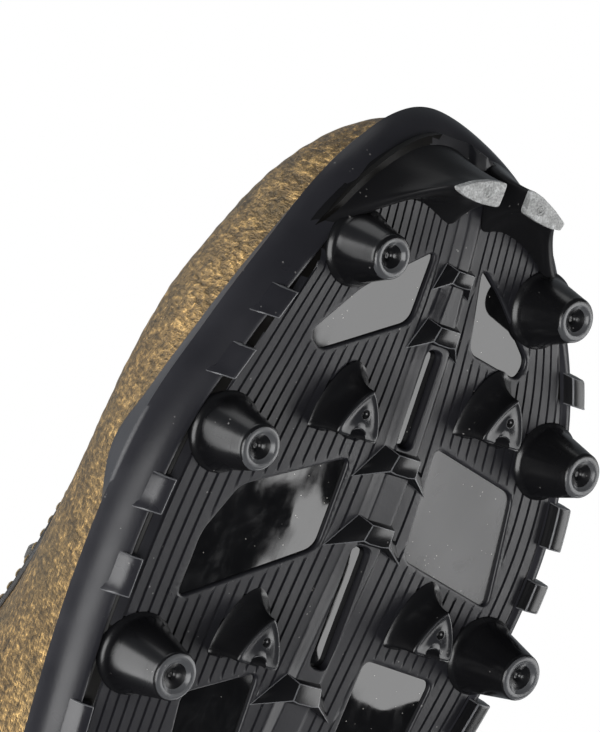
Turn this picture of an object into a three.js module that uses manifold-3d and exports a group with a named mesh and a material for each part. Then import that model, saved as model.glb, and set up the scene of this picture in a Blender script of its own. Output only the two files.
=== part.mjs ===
// Moulded-stud soccer cleat, right shoe. Millimetres. +X runs to the toe, +Y to the inner
// (medial) side of the foot, +Z up. The shoe stands on its rear forefoot and heel studs at Z = 0.
import * as THREE from 'three';
import Module from 'manifold-3d';

const wasm = await Module();
wasm.setup();

// ---------------------------------------------------------------- driving dimensions
const BALL_HEIGHT = 12.3;        // underside of the plate above the ground at the ball
const FLOOR = 2.4;               // plate thickness
const RAND_WALL = 1.5;           // thickness of the plate's upstanding edge
const EDGE_ROUND = 2.5;          // how far the underside stays inside the edge
const GAP = 0.3;                 // clearance between touching pieces
const UPPER = 2.0;               // textile thickness
const TOE_AXIS = 95;             // the toe is a dome around this station
const HEEL_AXIS = -100;          // the heel cup is round about this station
const VAMP_END = 60;             // seam between vamp and quarters, front end of the throat
const COLLAR_FRONT = -12;        // rear end of the throat
const TONGUE_INSET = 7.2;        // depth of the tongue below the outer surface
const TONGUE_THICK = 3.4;
const LACE_RADIUS = 1.2;
const EYELET_RADIUS = 2.4;
const EYELET_ROWS = [50, 36.5, 23, 9.5, -4];
const STUD_BASE_FLARE = 2.9;     // how much wider a stud's base is than its neck
const TIP_CAP = 2.6;             // height of the separately moulded stud tip

// Outline of the sole in plan: toe, outer (lateral) side, heel, inner (medial) side.
const OUTLINE = [
  [140, -6], [137, -16], [128, -26.5], [112, -36], [93, -44.5], [74, -51], [45, -53],
  [10, -49.5], [-35, -40.5], [-75, -36], [-108, -34], [-130, -23.5], [-140, -1],
  [-130, 22], [-108, 32.5], [-75, 32.5], [-35, 29.5], [10, 36], [45, 44.5], [72, 47],
  [96, 42], [112, 34], [126, 23.5], [136, 9.5],
];

// ---------------------------------------------------------------- colours
const BLACK_TPU = { color: 0x1b1c1f, roughness: 0.34, metalness: 0 };
const GLOSS_TPU = { color: 0x0b0c0e, roughness: 0.12, metalness: 0 };
const GREY_TIP = { color: 0x8b8e92, roughness: 0.4, metalness: 0 };
const GOLD_KNIT = { color: 0x8f7340, roughness: 0.55, metalness: 0.35 };
const BLACK_FABRIC = { color: 0x202023, roughness: 0.85, metalness: 0 };
const BOARD = { color: 0xb9ad97, roughness: 0.8, metalness: 0 };
const STIFFENER = { color: 0xd8d6cf, roughness: 0.6, metalness: 0 };
const LACE = { color: 0x26241f, roughness: 0.8, metalness: 0 };

// ---------------------------------------------------------------- curves of the shoe
// Smooth curve through [x, value] pairs in rising x, level beyond its ends.
function profile(points) {
  return (x) => {
    const last = points.length - 1;
    if (x <= points[0][0]) return points[0][1];
    if (x >= points[last][0]) return points[last][1];
    const i = points.findIndex((p) => p[0] > x) - 1;
    const slope = (k) => {
      const a = points[Math.max(k - 1, 0)];
      const b = points[Math.min(k + 1, last)];
      return (b[1] - a[1]) / (b[0] - a[0]);
    };
    const [x0, v0] = points[i];
    const [x1, v1] = points[i + 1];
    const w = x1 - x0;
    const t = (x - x0) / w;
    const s = 1 - t;
    return v0 * s * s * (1 + 2 * t) + v1 * t * t * (3 - 2 * t)
      + w * t * s * (slope(i) * s - slope(i + 1) * t);
  };
}

// Height of the plate's underside: flat at the ball, toe spring, raised waist, heel bevel.
function soleZ(x) {
  const spring = 0.00058 * Math.max(0, x - 46.4) ** 2;
  const toeRoll = 0.02 * Math.max(0, x - 126) ** 2;
  const arch = 5 * Math.exp(-(((x + 22) / 28) ** 2));
  const heelRoll = 0.012 * Math.max(0, -120 - x) ** 2;
  return BALL_HEIGHT + spring + toeRoll + arch + heelRoll;
}
const soleSlope = (x) => (soleZ(x + 0.5) - soleZ(x - 0.5));

// Top of the plate's upstanding edge, with the small wing beside the ball of the foot.
const randTop = profile([[-140, 29], [-120, 25.5], [-90, 22], [-60, 21.5], [-22, 24.5],
  [16, 19.5], [44, 18], [56, 18.6], [68, 25.5], [80, 22.6], [110, 22.4], [126, 24], [140, 28]]);

// Ridge height of the closed upper, carried on above the collar as a construction line.
const ridgeZ = profile([[-140, 128], [-80, 130], [-40, 125], [-10, 112], [10, 96.5], [30, 84.5],
  [50, 77], [74, 69.5], [95, 63.5]]);
// Fullness of a section: 2 is an ellipse, less is peaked, more is boxy.
const fullness = profile([[-140, 3], [-60, 2.9], [-20, 2.2], [20, 1.52], [50, 1.48],
  [74, 1.65], [95, 2.05]]);
// Height of the collar edge and half the width of the throat.
const collarZ = profile([[-140, 100], [-125, 92], [-100, 82], [-70, 79], [-45, 84], [-20, 98],
  [-8, 108], [0, 125]]);
const throatHalf = profile([[-20, 14], [0, 13], [30, 10.5], [60, 8]]);

// Closed plan outline at a given inset, read as a lateral and a medial edge at each x.
const LATERAL = -1;
const MEDIAL = 1;
function makeOutline(inset) {
  const knots = OUTLINE.map(([x, y]) => new THREE.Vector3(x, y, 0));
  const curve = new THREE.CatmullRomCurve3(knots, true, 'centripetal');
  const count = 720;
  const ring = [];
  for (let i = 0; i < count; i += 1) {
    const point = curve.getPoint(i / count);
    const along = curve.getTangent(i / count);
    ring.push([point.x + along.y * inset, point.y - along.x * inset]);
  }
  const front = ring.reduce((best, p, i) => (p[0] > ring[best][0] ? i : best), 0);
  const back = ring.reduce((best, p, i) => (p[0] < ring[best][0] ? i : best), 0);
  const walk = (step) => {
    const chain = [];
    for (let i = front; ; i = (i + step + count) % count) {
      chain.push(ring[i]);
      if (i === back) return chain;
    }
  };
  const firstSide = ring[(front + 60) % count][1] < ring[front][1] ? 1 : -1;
  const chains = { [LATERAL]: walk(firstSide), [MEDIAL]: walk(-firstSide) };
  const edge = (side, x) => {
    const chain = chains[side];
    if (x >= chain[0][0]) return chain[0][1];
    for (let i = 1; i < chain.length; i += 1) {
      if (chain[i][0] <= x) {
        const [xa, ya] = chain[i - 1];
        const [xb, yb] = chain[i];
        return ya + (yb - ya) * ((x - xa) / (xb - xa || 1));
      }
    }
    return chain[chain.length - 1][1];
  };
  return { edge, min: ring[back][0], max: ring[front][0] };
}
const rand = makeOutline(0);
const feather = makeOutline(RAND_WALL + GAP + 0.15);   // the upper stands inside the rand

// Stations from a to b, closer together towards an end that is rounded off.
function stations(a, b, count, roundA, roundB) {
  const list = [];
  for (let i = 0; i <= count; i += 1) {
    const t = i / count;
    let u = t;
    if (roundA && roundB) u = 0.5 - 0.5 * Math.cos(Math.PI * t);
    else if (roundA) u = 1 - Math.cos(0.5 * Math.PI * t);
    else if (roundB) u = Math.sin(0.5 * Math.PI * t);
    list.push(a + (b - a) * u);
  }
  return list;
}

// ---------------------------------------------------------------- mesh and solid tools
function toGeometry(vertices, triangles) {
  const welded = [];
  const seen = new Map();
  const remap = vertices.map((v) => {
    const key = v.map((c) => Math.round(c * 2000)).join();
    if (!seen.has(key)) {
      seen.set(key, welded.length);
      welded.push(v);
    }
    return seen.get(key);
  });
  const faces = triangles.map((t) => t.map((i) => remap[i]))
    .filter(([a, b, c]) => a !== b && b !== c && c !== a);
  let volume = 0;
  for (const [a, b, c] of faces) {
    const [p, q, r] = [a, b, c].map((i) => new THREE.Vector3(...welded[i]));
    volume += p.dot(q.cross(r));
  }
  if (volume < 0) faces.forEach((f) => f.reverse());
  const geometry = new THREE.BufferGeometry();
  geometry.setAttribute('position', new THREE.Float32BufferAttribute(welded.flat(), 3));
  geometry.setIndex(faces.flat());
  return geometry;
}

// Closed solid between an outer and an inner grid of points. folded: the last row is doubled
// back on itself, as at the tip of the toe, so it needs no rim of its own.
function shell(outer, inner, folded = false) {
  const rows = outer.length;
  const cols = outer[0].length;
  const vertices = [...outer.flat(), ...inner.flat()];
  const o = (i, j) => i * cols + j;
  const n = (i, j) => rows * cols + i * cols + j;
  const triangles = [];
  const quad = (a, b, c, d) => triangles.push([a, b, c], [a, c, d]);
  for (let i = 0; i < rows - 1; i += 1) {
    for (let j = 0; j < cols - 1; j += 1) {
      quad(o(i, j), o(i + 1, j), o(i + 1, j + 1), o(i, j + 1));
      quad(n(i, j), n(i, j + 1), n(i + 1, j + 1), n(i + 1, j));
    }
    quad(o(i, 0), n(i, 0), n(i + 1, 0), o(i + 1, 0));
    quad(o(i, cols - 1), o(i + 1, cols - 1), n(i + 1, cols - 1), n(i, cols - 1));
  }
  const closeRow = (i, flip) => {
    for (let j = 0; j < cols - 1; j += 1) {
      const corners = [o(i, j), o(i, j + 1), n(i, j + 1), n(i, j)];
      quad(...(flip ? corners.reverse() : corners));
    }
  };
  closeRow(0, false);
  if (!folded) closeRow(rows - 1, true);
  return toGeometry(vertices, triangles);
}

// Closed solid through a list of rings with the same number of points.
function loft(rings) {
  const count = rings[0].length;
  const vertices = rings.flat();
  const triangles = [];
  for (let k = 0; k < rings.length - 1; k += 1) {
    for (let i = 0; i < count; i += 1) {
      const a = k * count + i;
      const b = k * count + ((i + 1) % count);
      triangles.push([a, b, b + count], [a, b + count, a + count]);
    }
  }
  const cap = (start, flip) => {
    const centre = vertices.length;
    const ring = vertices.slice(start, start + count);
    vertices.push([0, 1, 2].map((c) => ring.reduce((sum, v) => sum + v[c], 0) / count));
    for (let i = 0; i < count; i += 1) {
      const edge = [start + ((i + 1) % count), start + i];
      triangles.push(flip ? [centre, edge[1], edge[0]] : [centre, ...edge]);
    }
  };
  cap(0, false);
  cap((rings.length - 1) * count, true);
  return toGeometry(vertices, triangles);
}

// The same surface with its shared corners welded and its faces pointing outwards.
function tidied(geometry) {
  const { position } = geometry.attributes;
  const vertices = Array.from({ length: position.count }, (_, i) => (
    [position.getX(i), position.getY(i), position.getZ(i)]));
  const order = geometry.index ? Array.from(geometry.index.array) : vertices.map((_, i) => i);
  const triangles = Array.from({ length: order.length / 3 }, (_, i) => order.slice(3 * i, 3 * i + 3));
  return toGeometry(vertices, triangles);
}

function toSolid(geometry) {
  const { attributes, index } = tidied(geometry);
  return new wasm.Manifold(new wasm.Mesh({
    numProp: 3,
    vertProperties: new Float32Array(attributes.position.array),
    triVerts: new Uint32Array(index.array),
  }));
}

function fromSolid(solid) {
  const { vertProperties, triVerts } = solid.getMesh();
  const geometry = new THREE.BufferGeometry();
  geometry.setAttribute('position', new THREE.BufferAttribute(vertProperties, 3));
  geometry.setIndex(new THREE.BufferAttribute(triVerts, 1));
  return geometry;
}

const shoe = new THREE.Group();
function addPiece(name, geometry, look) {
  const piece = new THREE.Mesh(geometry, new THREE.MeshStandardMaterial(look));
  piece.name = name;
  shoe.add(piece);
}

// Polygon in plan with its corners rounded, as [x, y] points.
function roundCorners(corners, radius, steps = 3) {
  return corners.flatMap((corner, i) => {
    const p = new THREE.Vector2(...corner);
    const before = new THREE.Vector2(...corners.at(i - 1)).sub(p);
    const after = new THREE.Vector2(...corners[(i + 1) % corners.length]).sub(p);
    const reach = Math.min(radius, before.length() * 0.45, after.length() * 0.45);
    const a = p.clone().add(before.setLength(reach));
    const b = p.clone().add(after.setLength(reach));
    const arc = new THREE.QuadraticBezierCurve(a, p, b);
    return arc.getPoints(steps).map((q) => [q.x, q.y]);
  });
}

// Upright prism over a plan polygon.
const prism = (polygon, low, high) => loft([low, high].map((z) => polygon.map(([x, y]) => [x, y, z])));

// Lug that grows down from the plate: its root follows the underside, its face is level.
function lug(root, face, faceZ) {
  return toSolid(loft([
    root.map(([x, y]) => [x, y, soleZ(x) + 1]),
    face.map(([x, y], i) => [x, y, typeof faceZ === 'function' ? faceZ(x, i) : faceZ]),
  ]));
}

// ---------------------------------------------------------------- surface of the upper
// Plan position of the ridge: midway between the edges, drawn a little to the inner side.
const ridgeY = (x) => 0.5 * (rand.edge(LATERAL, x) + rand.edge(MEDIAL, x)) + 2;

// Point of the upper at outline station x, at an angle from the sole edge (0) up to the ridge
// (90 degrees), a given depth inside the outer surface.
function upperPoint(x, side, angle, inset) {
  const axisX = THREE.MathUtils.clamp(x, HEEL_AXIS, TOE_AXIS);
  const axisY = ridgeY(axisX);
  const power = 2 / fullness(axisX);
  const [dx, dy] = [x - axisX, feather.edge(side, x) - axisY];
  const reach = Math.hypot(dx, dy);
  const out = ((reach - inset) / reach) * Math.max(0, Math.cos(angle)) ** power;
  const foot = soleZ(x) + FLOOR + GAP;
  const rise = ridgeZ(axisX) - inset - foot;
  return [axisX + dx * out, axisY + dy * out, foot + rise * Math.sin(angle) ** power];
}

// Angle at which the surface is a given distance from the ridge, or at a given height.
function angleAtDistance(x, side, distance, inset = 0) {
  const half = Math.abs(feather.edge(side, x) - ridgeY(x)) - inset;
  return Math.acos(Math.min(1, distance / half) ** (fullness(x) / 2));
}
function angleAtHeight(x, z) {
  const axisX = THREE.MathUtils.clamp(x, HEEL_AXIS, TOE_AXIS);
  const foot = soleZ(x) + FLOOR + GAP;
  const share = THREE.MathUtils.clamp((z - foot) / (ridgeZ(axisX) - foot), 0, 1);
  return Math.asin(share ** (fullness(axisX) / 2));
}
// Upper edge of a quarter: the throat edge in front, the collar behind.
function topAngle(x, side) {
  const throat = angleAtDistance(Math.max(x, -60), side, throatHalf(x));
  return Math.min(throat, angleAtHeight(x, collarZ(x)));
}

// The same for the two quarters, which stand a hair apart at the back seam.
const SEAM = 0.25;
function quarterPoint(x, side, angle, inset) {
  const [px, py, pz] = upperPoint(x, side, angle, inset + SEAM);
  return [px, py + side * SEAM, pz];
}

// Panel of the upper on one side. low and high give its bounding angles at a station; outer
// and inner give its depths at a station and a share of the way up.
function sidePanel(side, xs, steps, low, high, outer, inner) {
  const grid = (depth) => xs.map((x) => Array.from({ length: steps + 1 }, (_, j) => {
    const t = j / steps;
    return quarterPoint(x, side, low(x) + (high(x) - low(x)) * t, depth(x, t));
  }));
  return shell(grid(outer), grid(inner));
}

// Panel right across the shoe, from the outer to the inner side, closed at the toe.
function crossPanel(xs, steps, low, outer, inner, folded) {
  const grid = (depth) => xs.map((x) => Array.from({ length: 2 * steps + 1 }, (_, j) => {
    const side = j <= steps ? LATERAL : MEDIAL;
    const t = 1 - Math.abs(j - steps) / steps;
    const start = low(x, side);
    return upperPoint(x, side, start + (Math.PI / 2 - start) * t, depth);
  }));
  return shell(grid(outer), grid(inner), folded);
}

// ---------------------------------------------------------------- outsole
// Conical studs: name, plan position, height below the plate, radius of the tip.
const STUDS = [
  ['forefoot_stud_tip_lateral_front', 113.3, -21.4, 9.7, 3.8],
  ['forefoot_stud_tip_lateral_middle', 76.5, -36.4, 10.7, 4.0],
  ['forefoot_stud_tip_lateral_rear', 36, -38, soleZ(36), 4.25],
  ['forefoot_stud_tip_medial_front', 113.2, 23.9, 9.7, 3.9],
  ['forefoot_stud_tip_medial_middle', 87.6, 36.4, 10.7, 4.0],
  ['forefoot_stud_tip_medial_rear', 50.4, 37.6, soleZ(50.4), 4.25],
  ['heel_stud_tip_lateral_front', -76, -24.5, soleZ(-76), 4.25],
  ['heel_stud_tip_lateral_rear', -113, -19.5, soleZ(-113), 4.25],
  ['heel_stud_tip_medial_front', -76, 21.5, soleZ(-76), 4.25],
  ['heel_stud_tip_medial_rear', -113, 18, soleZ(-113), 4.25],
];
const STUD_SIDES = 16;

// Solid of revolution hung under the plate at a stud, square to the underside there.
function hungUnderPlate(profilePoints, x, y, level = false) {
  const points = profilePoints.map(([r, depth]) => new THREE.Vector2(r, -depth));
  const geometry = new THREE.LatheGeometry(points, STUD_SIDES);
  geometry.rotateX(Math.PI / 2);
  if (!level) geometry.rotateY(-Math.atan(soleSlope(x)));
  geometry.translate(x, y, soleZ(x));
  return geometry;
}

function studBody(x, y, height, tip) {
  const neck = height - TIP_CAP - GAP;
  const waist = tip + 0.45;
  return toSolid(hungUnderPlate([
    [0, -1], [waist + STUD_BASE_FLARE, -1], [waist + STUD_BASE_FLARE, 0],
    [waist + 0.66 * STUD_BASE_FLARE, 0.9], [waist + 0.4 * STUD_BASE_FLARE, 2.6],
    [waist, neck], [0, neck],
  ], x, y, height > BALL_HEIGHT - 0.5));
}

// Stud tip: rounded rim round a countersunk hollow with a small pit.
function studTip(x, y, height, tip) {
  const top = height - TIP_CAP;
  const mouth = tip * 0.68;
  return hungUnderPlate([
    [0, top], [tip + 0.35, top], [tip + 0.3, height - 0.8], [tip, height], [mouth, height],
    [0.7, height - 2], [0, height - 2],
  ], x, y, height > BALL_HEIGHT - 0.5);
}

// Arrow-shaped small studs between the cones: plan centre of the face.
const DELTAS = [[86, -13.4], [92, 19.2], [43.5, -17], [52.4, 20.6]];
const DELTA_HEIGHT = 6.5;
function deltaStud(x, y) {
  const face = roundCorners([[x + 4.6, y], [x - 3.4, y + 4.6], [x - 1.4, y], [x - 3.4, y - 4.6]], 1.4, 2);
  const root = roundCorners([[x + 9.4, y], [x - 4.6, y + 6.4], [x - 3.2, y], [x - 4.6, y - 6.4]], 2.4, 2);
  return lug(root, face, soleZ(x) - DELTA_HEIGHT);
}

// Cross ribs over the spine: station, middle, half width.
const RIBS = [[114, 2, 6], [103.6, 2.2, 7], [80, 2.6, 9], [67, 2.2, 9.5], [36.6, -0.5, 9.5],
  [2, -2, 8], [-40, -3, 7.5], [-94, -1.5, 8]];
const RIB_HEIGHT = 3;
function crossRib(x, y, half) {
  const root = [[x + 2.2, y - 4.2], [x + 2.2, y + 4.2], [x - 4.4, y + half], [x - 4.4, y - half]];
  const face = [[x + 1.4, y - 2.7], [x + 1.4, y + 2.7], [x - 1.8, y + 2.9], [x - 1.8, y - 2.9]];
  return lug(root, face, soleZ(x) - RIB_HEIGHT);
}

// Pill-shaped slots along the spine: ends, middle, half width.
const SLOTS = [[82.5, 100.5, 1.8, 1.8], [41, 64, 0.8, 2.2], [-34, -3, -2.4, 2], [-88, -46, -2, 2]];
const SLOT_DEPTH = 1.5;
function spineSlot(x0, x1, y, half) {
  const plan = roundCorners([[x0, y - half], [x1, y - half], [x1, y + half], [x0, y + half]], half, 4);
  return toSolid(loft([-1, SLOT_DEPTH].map((h) => plan.map(([px, py]) => [px, py, soleZ(px) + h]))));
}

// Window openings that show the polished chassis behind the plate.
const WINDOWS = [
  [[117, -4], [104, -4.6], [94.5, -22.5], [97, -25.5], [107, -17.5]],
  [[116.8, 7.6], [113, 13.4], [103.5, 24.5], [100, 23.6], [102, 10.8]],
  [[78.2, -8], [61.5, -8.2], [47, -33.8], [59, -33.6], [68.5, -29]],
  [[84.2, 10.5], [80, 31.5], [59, 35], [63.6, 12]],
  [[37.6, -10.6], [31, -25], [8, -21], [10, -9]],
  [[44.4, 12], [43.4, 29], [22, 26.5], [14, 11]],
  [[-82, -9], [-84, -16], [-106, -13], [-104, -7]],
  [[-82, 6], [-84, 13], [-106, 11], [-104, 5]],
];

// Blocks on the edge of the underside: side and the stations where each starts and ends.
const EDGE_BLOCKS = [
  [LATERAL, 97.4, 103.2], [LATERAL, 85.4, 91.8], [LATERAL, 60, 67], [LATERAL, 45, 52.5],
  [LATERAL, 16, 26], [LATERAL, -2, 6], [LATERAL, -58, -50], [LATERAL, -98, -90],
  [MEDIAL, 98.5, 104], [MEDIAL, 72.5, 81], [MEDIAL, 60.5, 66.5], [MEDIAL, 35, 42.5],
  [MEDIAL, 18, 25], [MEDIAL, 0, 7], [MEDIAL, -58, -50], [MEDIAL, -98, -90],
];
const BLOCK_HEIGHT = 2.4;
const blockDepth = { [LATERAL]: 7, [MEDIAL]: 5 };
function edgeBlock(side, x0, x1) {
  const inside = (x, depth) => [x, rand.edge(side, x) - side * depth];
  const depth = blockDepth[side];
  const root = [inside(x0, 1.2), inside(x1, 1.2), inside(x1, depth), inside(x0, depth)];
  const face = [inside(x0 + 0.5, 1.6), inside(x1 - 0.5, 1.6), inside(x1 - 0.5, depth - 0.6),
    inside(x0 + 0.5, depth - 0.6)];
  return lug(root, face, (x) => soleZ(x) - BLOCK_HEIGHT);
}

// Toe studs: two blades that rise towards the middle of the toe. Root and face in plan.
const TOE_BLADES = {
  lateral: {
    root: [[132.6, -2.6], [131.5, -13], [126, -19.5], [123.6, -17.5], [126.6, -10], [124, -2.6]],
    face: [[132, -4.4], [131.3, -9], [129.4, -12.6], [127.4, -11.6], [127.6, -8.4], [128.6, -4.4]],
  },
  medial: {
    root: [[132.8, 0.6], [130.6, 13], [122.4, 23.5], [120.4, 21.5], [125, 11], [124.6, 0.6]],
    face: [[132.6, 2], [131.4, 6.4], [129, 10.8], [127.2, 10], [128, 6], [129, 2]],
  },
};
const TOE_FACE_Z = 4.3;
const TOE_CAP = 1.3;
const toeBlade = ({ root, face }) => lug(root, face, TOE_FACE_Z + TOE_CAP + GAP);
const toeTip = ({ face }) => prism(roundCorners(face, 0.8, 2), TOE_FACE_Z, TOE_FACE_Z + TOE_CAP);

function outsolePlate() {
  const under = makeOutline(EDGE_ROUND);
  const pocket = makeOutline(RAND_WALL);
  const outer = loft(stations(rand.min + 0.04, rand.max - 0.04, 44, true, true).map((x) => {
    const [lat, med] = [rand.edge(LATERAL, x), rand.edge(MEDIAL, x)];
    const [z, top] = [soleZ(x), randTop(x)];
    return [
      [x, under.edge(LATERAL, x), z], [x, under.edge(MEDIAL, x), z],
      [x, med - 0.5, z + 1.4], [x, med, z + 3.4], [x, med, top],
      [x, lat, top], [x, lat, z + 3.4], [x, lat + 0.5, z + 1.4],
    ];
  }));
  const hollow = loft(stations(pocket.min + 0.04, pocket.max - 0.04, 44, true, true).map((x) => {
    const [lat, med] = [pocket.edge(LATERAL, x), pocket.edge(MEDIAL, x)];
    const z = soleZ(x) + FLOOR;
    return [[x, lat, z], [x, med, z], [x, med, z + 40], [x, lat, z + 40]];
  }));
  let plate = toSolid(outer).subtract(toSolid(hollow));
  for (const corners of WINDOWS) {
    plate = plate.subtract(toSolid(prism(roundCorners(corners, 2.6), 0, 60)));
  }
  for (const slot of SLOTS) plate = plate.subtract(spineSlot(...slot));
  for (const [, x, y, height, tip] of STUDS) plate = plate.add(studBody(x, y, height, tip));
  for (const place of DELTAS) plate = plate.add(deltaStud(...place));
  for (const rib of RIBS) plate = plate.add(crossRib(...rib));
  for (const block of EDGE_BLOCKS) plate = plate.add(edgeBlock(...block));
  for (const blade of Object.values(TOE_BLADES)) plate = plate.add(toeBlade(blade));
  return fromSolid(plate);
}

// Flat layer over the plate, between two heights above its underside.
function soleLayer(inset, low, high) {
  const outline = makeOutline(inset);
  return loft(stations(outline.min + 0.1, outline.max - 0.1, 40, true, true).map((x) => {
    const [lat, med] = [outline.edge(LATERAL, x), outline.edge(MEDIAL, x)];
    const z = soleZ(x);
    return [[x, lat, z + low], [x, med, z + low], [x, med, z + high], [x, lat, z + high]];
  }));
}

// ---------------------------------------------------------------- upper
const flat = (depth) => () => depth;

function vamp() {
  const xs = [...stations(VAMP_END + GAP, TOE_AXIS, 5), ...stations(TOE_AXIS, feather.max, 11, false, true)
    .slice(1)];
  return crossPanel(xs, 10, () => 0, 0, UPPER, true);
}

// Moulded stiffener inside the tip of the toe.
function toePuff() {
  const xs = stations(112, feather.max, 10, false, true);
  return crossPanel(xs, 8, () => 0.22, UPPER + GAP, UPPER + GAP + 0.9, true);
}

const QUARTER_STATIONS = [...stations(VAMP_END, HEEL_AXIS, 17),
  ...stations(HEEL_AXIS, feather.min, 7, false, true).slice(1)];

// Point at a distance from the ridge and a depth square to the outer surface.
function surfacePoint(x, side, distance, depth) {
  const angle = angleAtDistance(x, side, distance);
  const at = (u, v) => new THREE.Vector3(...quarterPoint(x + u, side, angle + v, 0));
  const along = at(0.5, 0).sub(at(-0.5, 0));
  const up = at(0, 0.01).sub(at(0, -0.01));
  const outward = along.cross(up).normalize().multiplyScalar(-side);
  return at(0, 0).addScaledVector(outward, -depth);
}

// Cylinder through the upper at an eyelet, square to the surface.
const eyeletDistance = (x) => throatHalf(x) + 5.4;
function laceHole(x, side) {
  const inside = surfacePoint(x, side, eyeletDistance(x), 5);
  const outside = surfacePoint(x, side, eyeletDistance(x), -4);
  const axis = outside.clone().sub(inside);
  const geometry = new THREE.CylinderGeometry(EYELET_RADIUS, EYELET_RADIUS, axis.length(), 10);
  const turn = new THREE.Quaternion().setFromUnitVectors(new THREE.Vector3(0, 1, 0), axis.normalize());
  geometry.applyQuaternion(turn);
  const middle = inside.add(outside).multiplyScalar(0.5);
  geometry.translate(middle.x, middle.y, middle.z);
  return toSolid(geometry);
}
function pierced(geometry, side) {
  return fromSolid(EYELET_ROWS.reduce((solid, x) => solid.subtract(laceHole(x, side)),
    toSolid(geometry)));
}

function quarter(side) {
  return pierced(sidePanel(side, QUARTER_STATIONS, 8, () => 0, (x) => topAngle(x, side),
    flat(0), flat(UPPER)), side);
}

// Reinforcing band that carries the eyelets, on the outside of the quarter.
function eyestay(side) {
  const xs = stations(VAMP_END - 2, COLLAR_FRONT, 14);
  const low = (x) => angleAtDistance(x, side, throatHalf(x) + 13);
  const high = (x) => angleAtDistance(x, side, throatHalf(x) + 0.8);
  return pierced(sidePanel(side, xs, 4, low, high, flat(-1.2), flat(-GAP)), side);
}

// Padded lining round the ankle, thickest in the middle of its height.
function collarPad(side) {
  const xs = [...stations(COLLAR_FRONT - 9, HEEL_AXIS, 11),
    ...stations(HEEL_AXIS, feather.min, 7, false, true).slice(1)];
  const high = (x) => topAngle(x, side) - 0.02;
  const low = (x) => angleAtHeight(x, collarZ(x) - 34);
  const start = UPPER + GAP;
  return sidePanel(side, xs, 6, low, high, flat(start),
    (x, t) => start + 1.4 + 4.4 * Math.sin(Math.PI * t));
}

// Stiff cup round the heel, below the padding.
function heelCounter() {
  const rows = (depth) => stations(0, 1, 20).map((t) => {
    const side = t < 0.5 ? LATERAL : MEDIAL;
    const swing = Math.abs(2 * t - 1);
    const x = feather.min + (HEEL_AXIS + 22 - feather.min) * (1 - Math.cos(0.5 * Math.PI * swing));
    const height = 40 - 12 * swing;
    return Array.from({ length: 5 }, (_, j) => {
      const z = soleZ(x) + FLOOR + GAP + 6 + (height - 14) * (j / 4);
      return upperPoint(x, side, angleAtHeight(x, z), depth);
    });
  });
  return shell(rows(UPPER + GAP + SEAM), rows(UPPER + GAP + SEAM + 1.3));
}

// Webbing tab folded over the back seam.
function heelTab() {
  const half = 6;
  const back = feather.min;
  const rows = (depth) => stations(-1, 1, 6).map((t) => Array.from({ length: 6 }, (_, j) => {
    const angle = angleAtHeight(back, 66 + 34 * (j / 5));
    const [px, py, pz] = upperPoint(back, LATERAL, angle, depth);
    return [px + 0.016 * (t * half) ** 2, py + t * half, pz];
  }));
  return shell(rows(-1.9), rows(-0.6));
}

// Tongue under the throat, stitched at its front end, standing above the collar.
const TONGUE_FRONT = 68;
const TONGUE_BACK = -24;
const tongueHalf = profile([[-24, 15], [-10, 18], [20, 20], [68, 15]]);
function tongue() {
  const xs = stations(TONGUE_FRONT, TONGUE_BACK, 16);
  const low = (x, side) => angleAtDistance(x, side, tongueHalf(x), TONGUE_INSET);
  return crossPanel(xs, 6, low, TONGUE_INSET, TONGUE_INSET + TONGUE_THICK, false);
}

// One lace: a bar across each pair of eyelets, joined underneath along alternate sides.
function laceRoute() {
  const over = -1.3 - GAP - LACE_RADIUS;
  const under = UPPER + 2 * GAP + LACE_RADIUS;
  const route = [];
  EYELET_ROWS.forEach((x, row) => {
    const from = row % 2 === 0 ? LATERAL : MEDIAL;
    const hole = eyeletDistance(x);
    const rising = [[hole, under], [hole, 0.5], [hole - 0.6, -1.6], [hole - 2.2, over],
      [hole - 5.5, over]];
    rising.forEach((p) => route.push(surfacePoint(x, from, ...p)));
    rising.reverse().forEach((p) => route.push(surfacePoint(x, -from, ...p)));
    if (row === EYELET_ROWS.length - 1) return;
    [0.25, 0.5, 0.75].forEach((share) => {
      const between = x + (EYELET_ROWS[row + 1] - x) * share;
      route.push(surfacePoint(between, -from, eyeletDistance(between), under + 0.15));
    });
  });
  const first = EYELET_ROWS[0];
  const last = EYELET_ROWS.at(-1);
  const endSide = EYELET_ROWS.length % 2 === 0 ? LATERAL : MEDIAL;
  const start = surfacePoint(first + 5, LATERAL, eyeletDistance(first), under + 0.15);
  const finish = surfacePoint(last - 5, endSide, eyeletDistance(last), under + 0.15);
  return [start, ...route, finish];
}
function lace() {
  const path = new THREE.CatmullRomCurve3(laceRoute(), false, 'centripetal');
  const section = new THREE.Shape();
  section.absellipse(0, 0, LACE_RADIUS, LACE_RADIUS, 0, 2 * Math.PI);
  return new THREE.ExtrudeGeometry(section, { steps: 120, curveSegments: 3, bevelEnabled: false,
    extrudePath: path });
}

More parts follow.
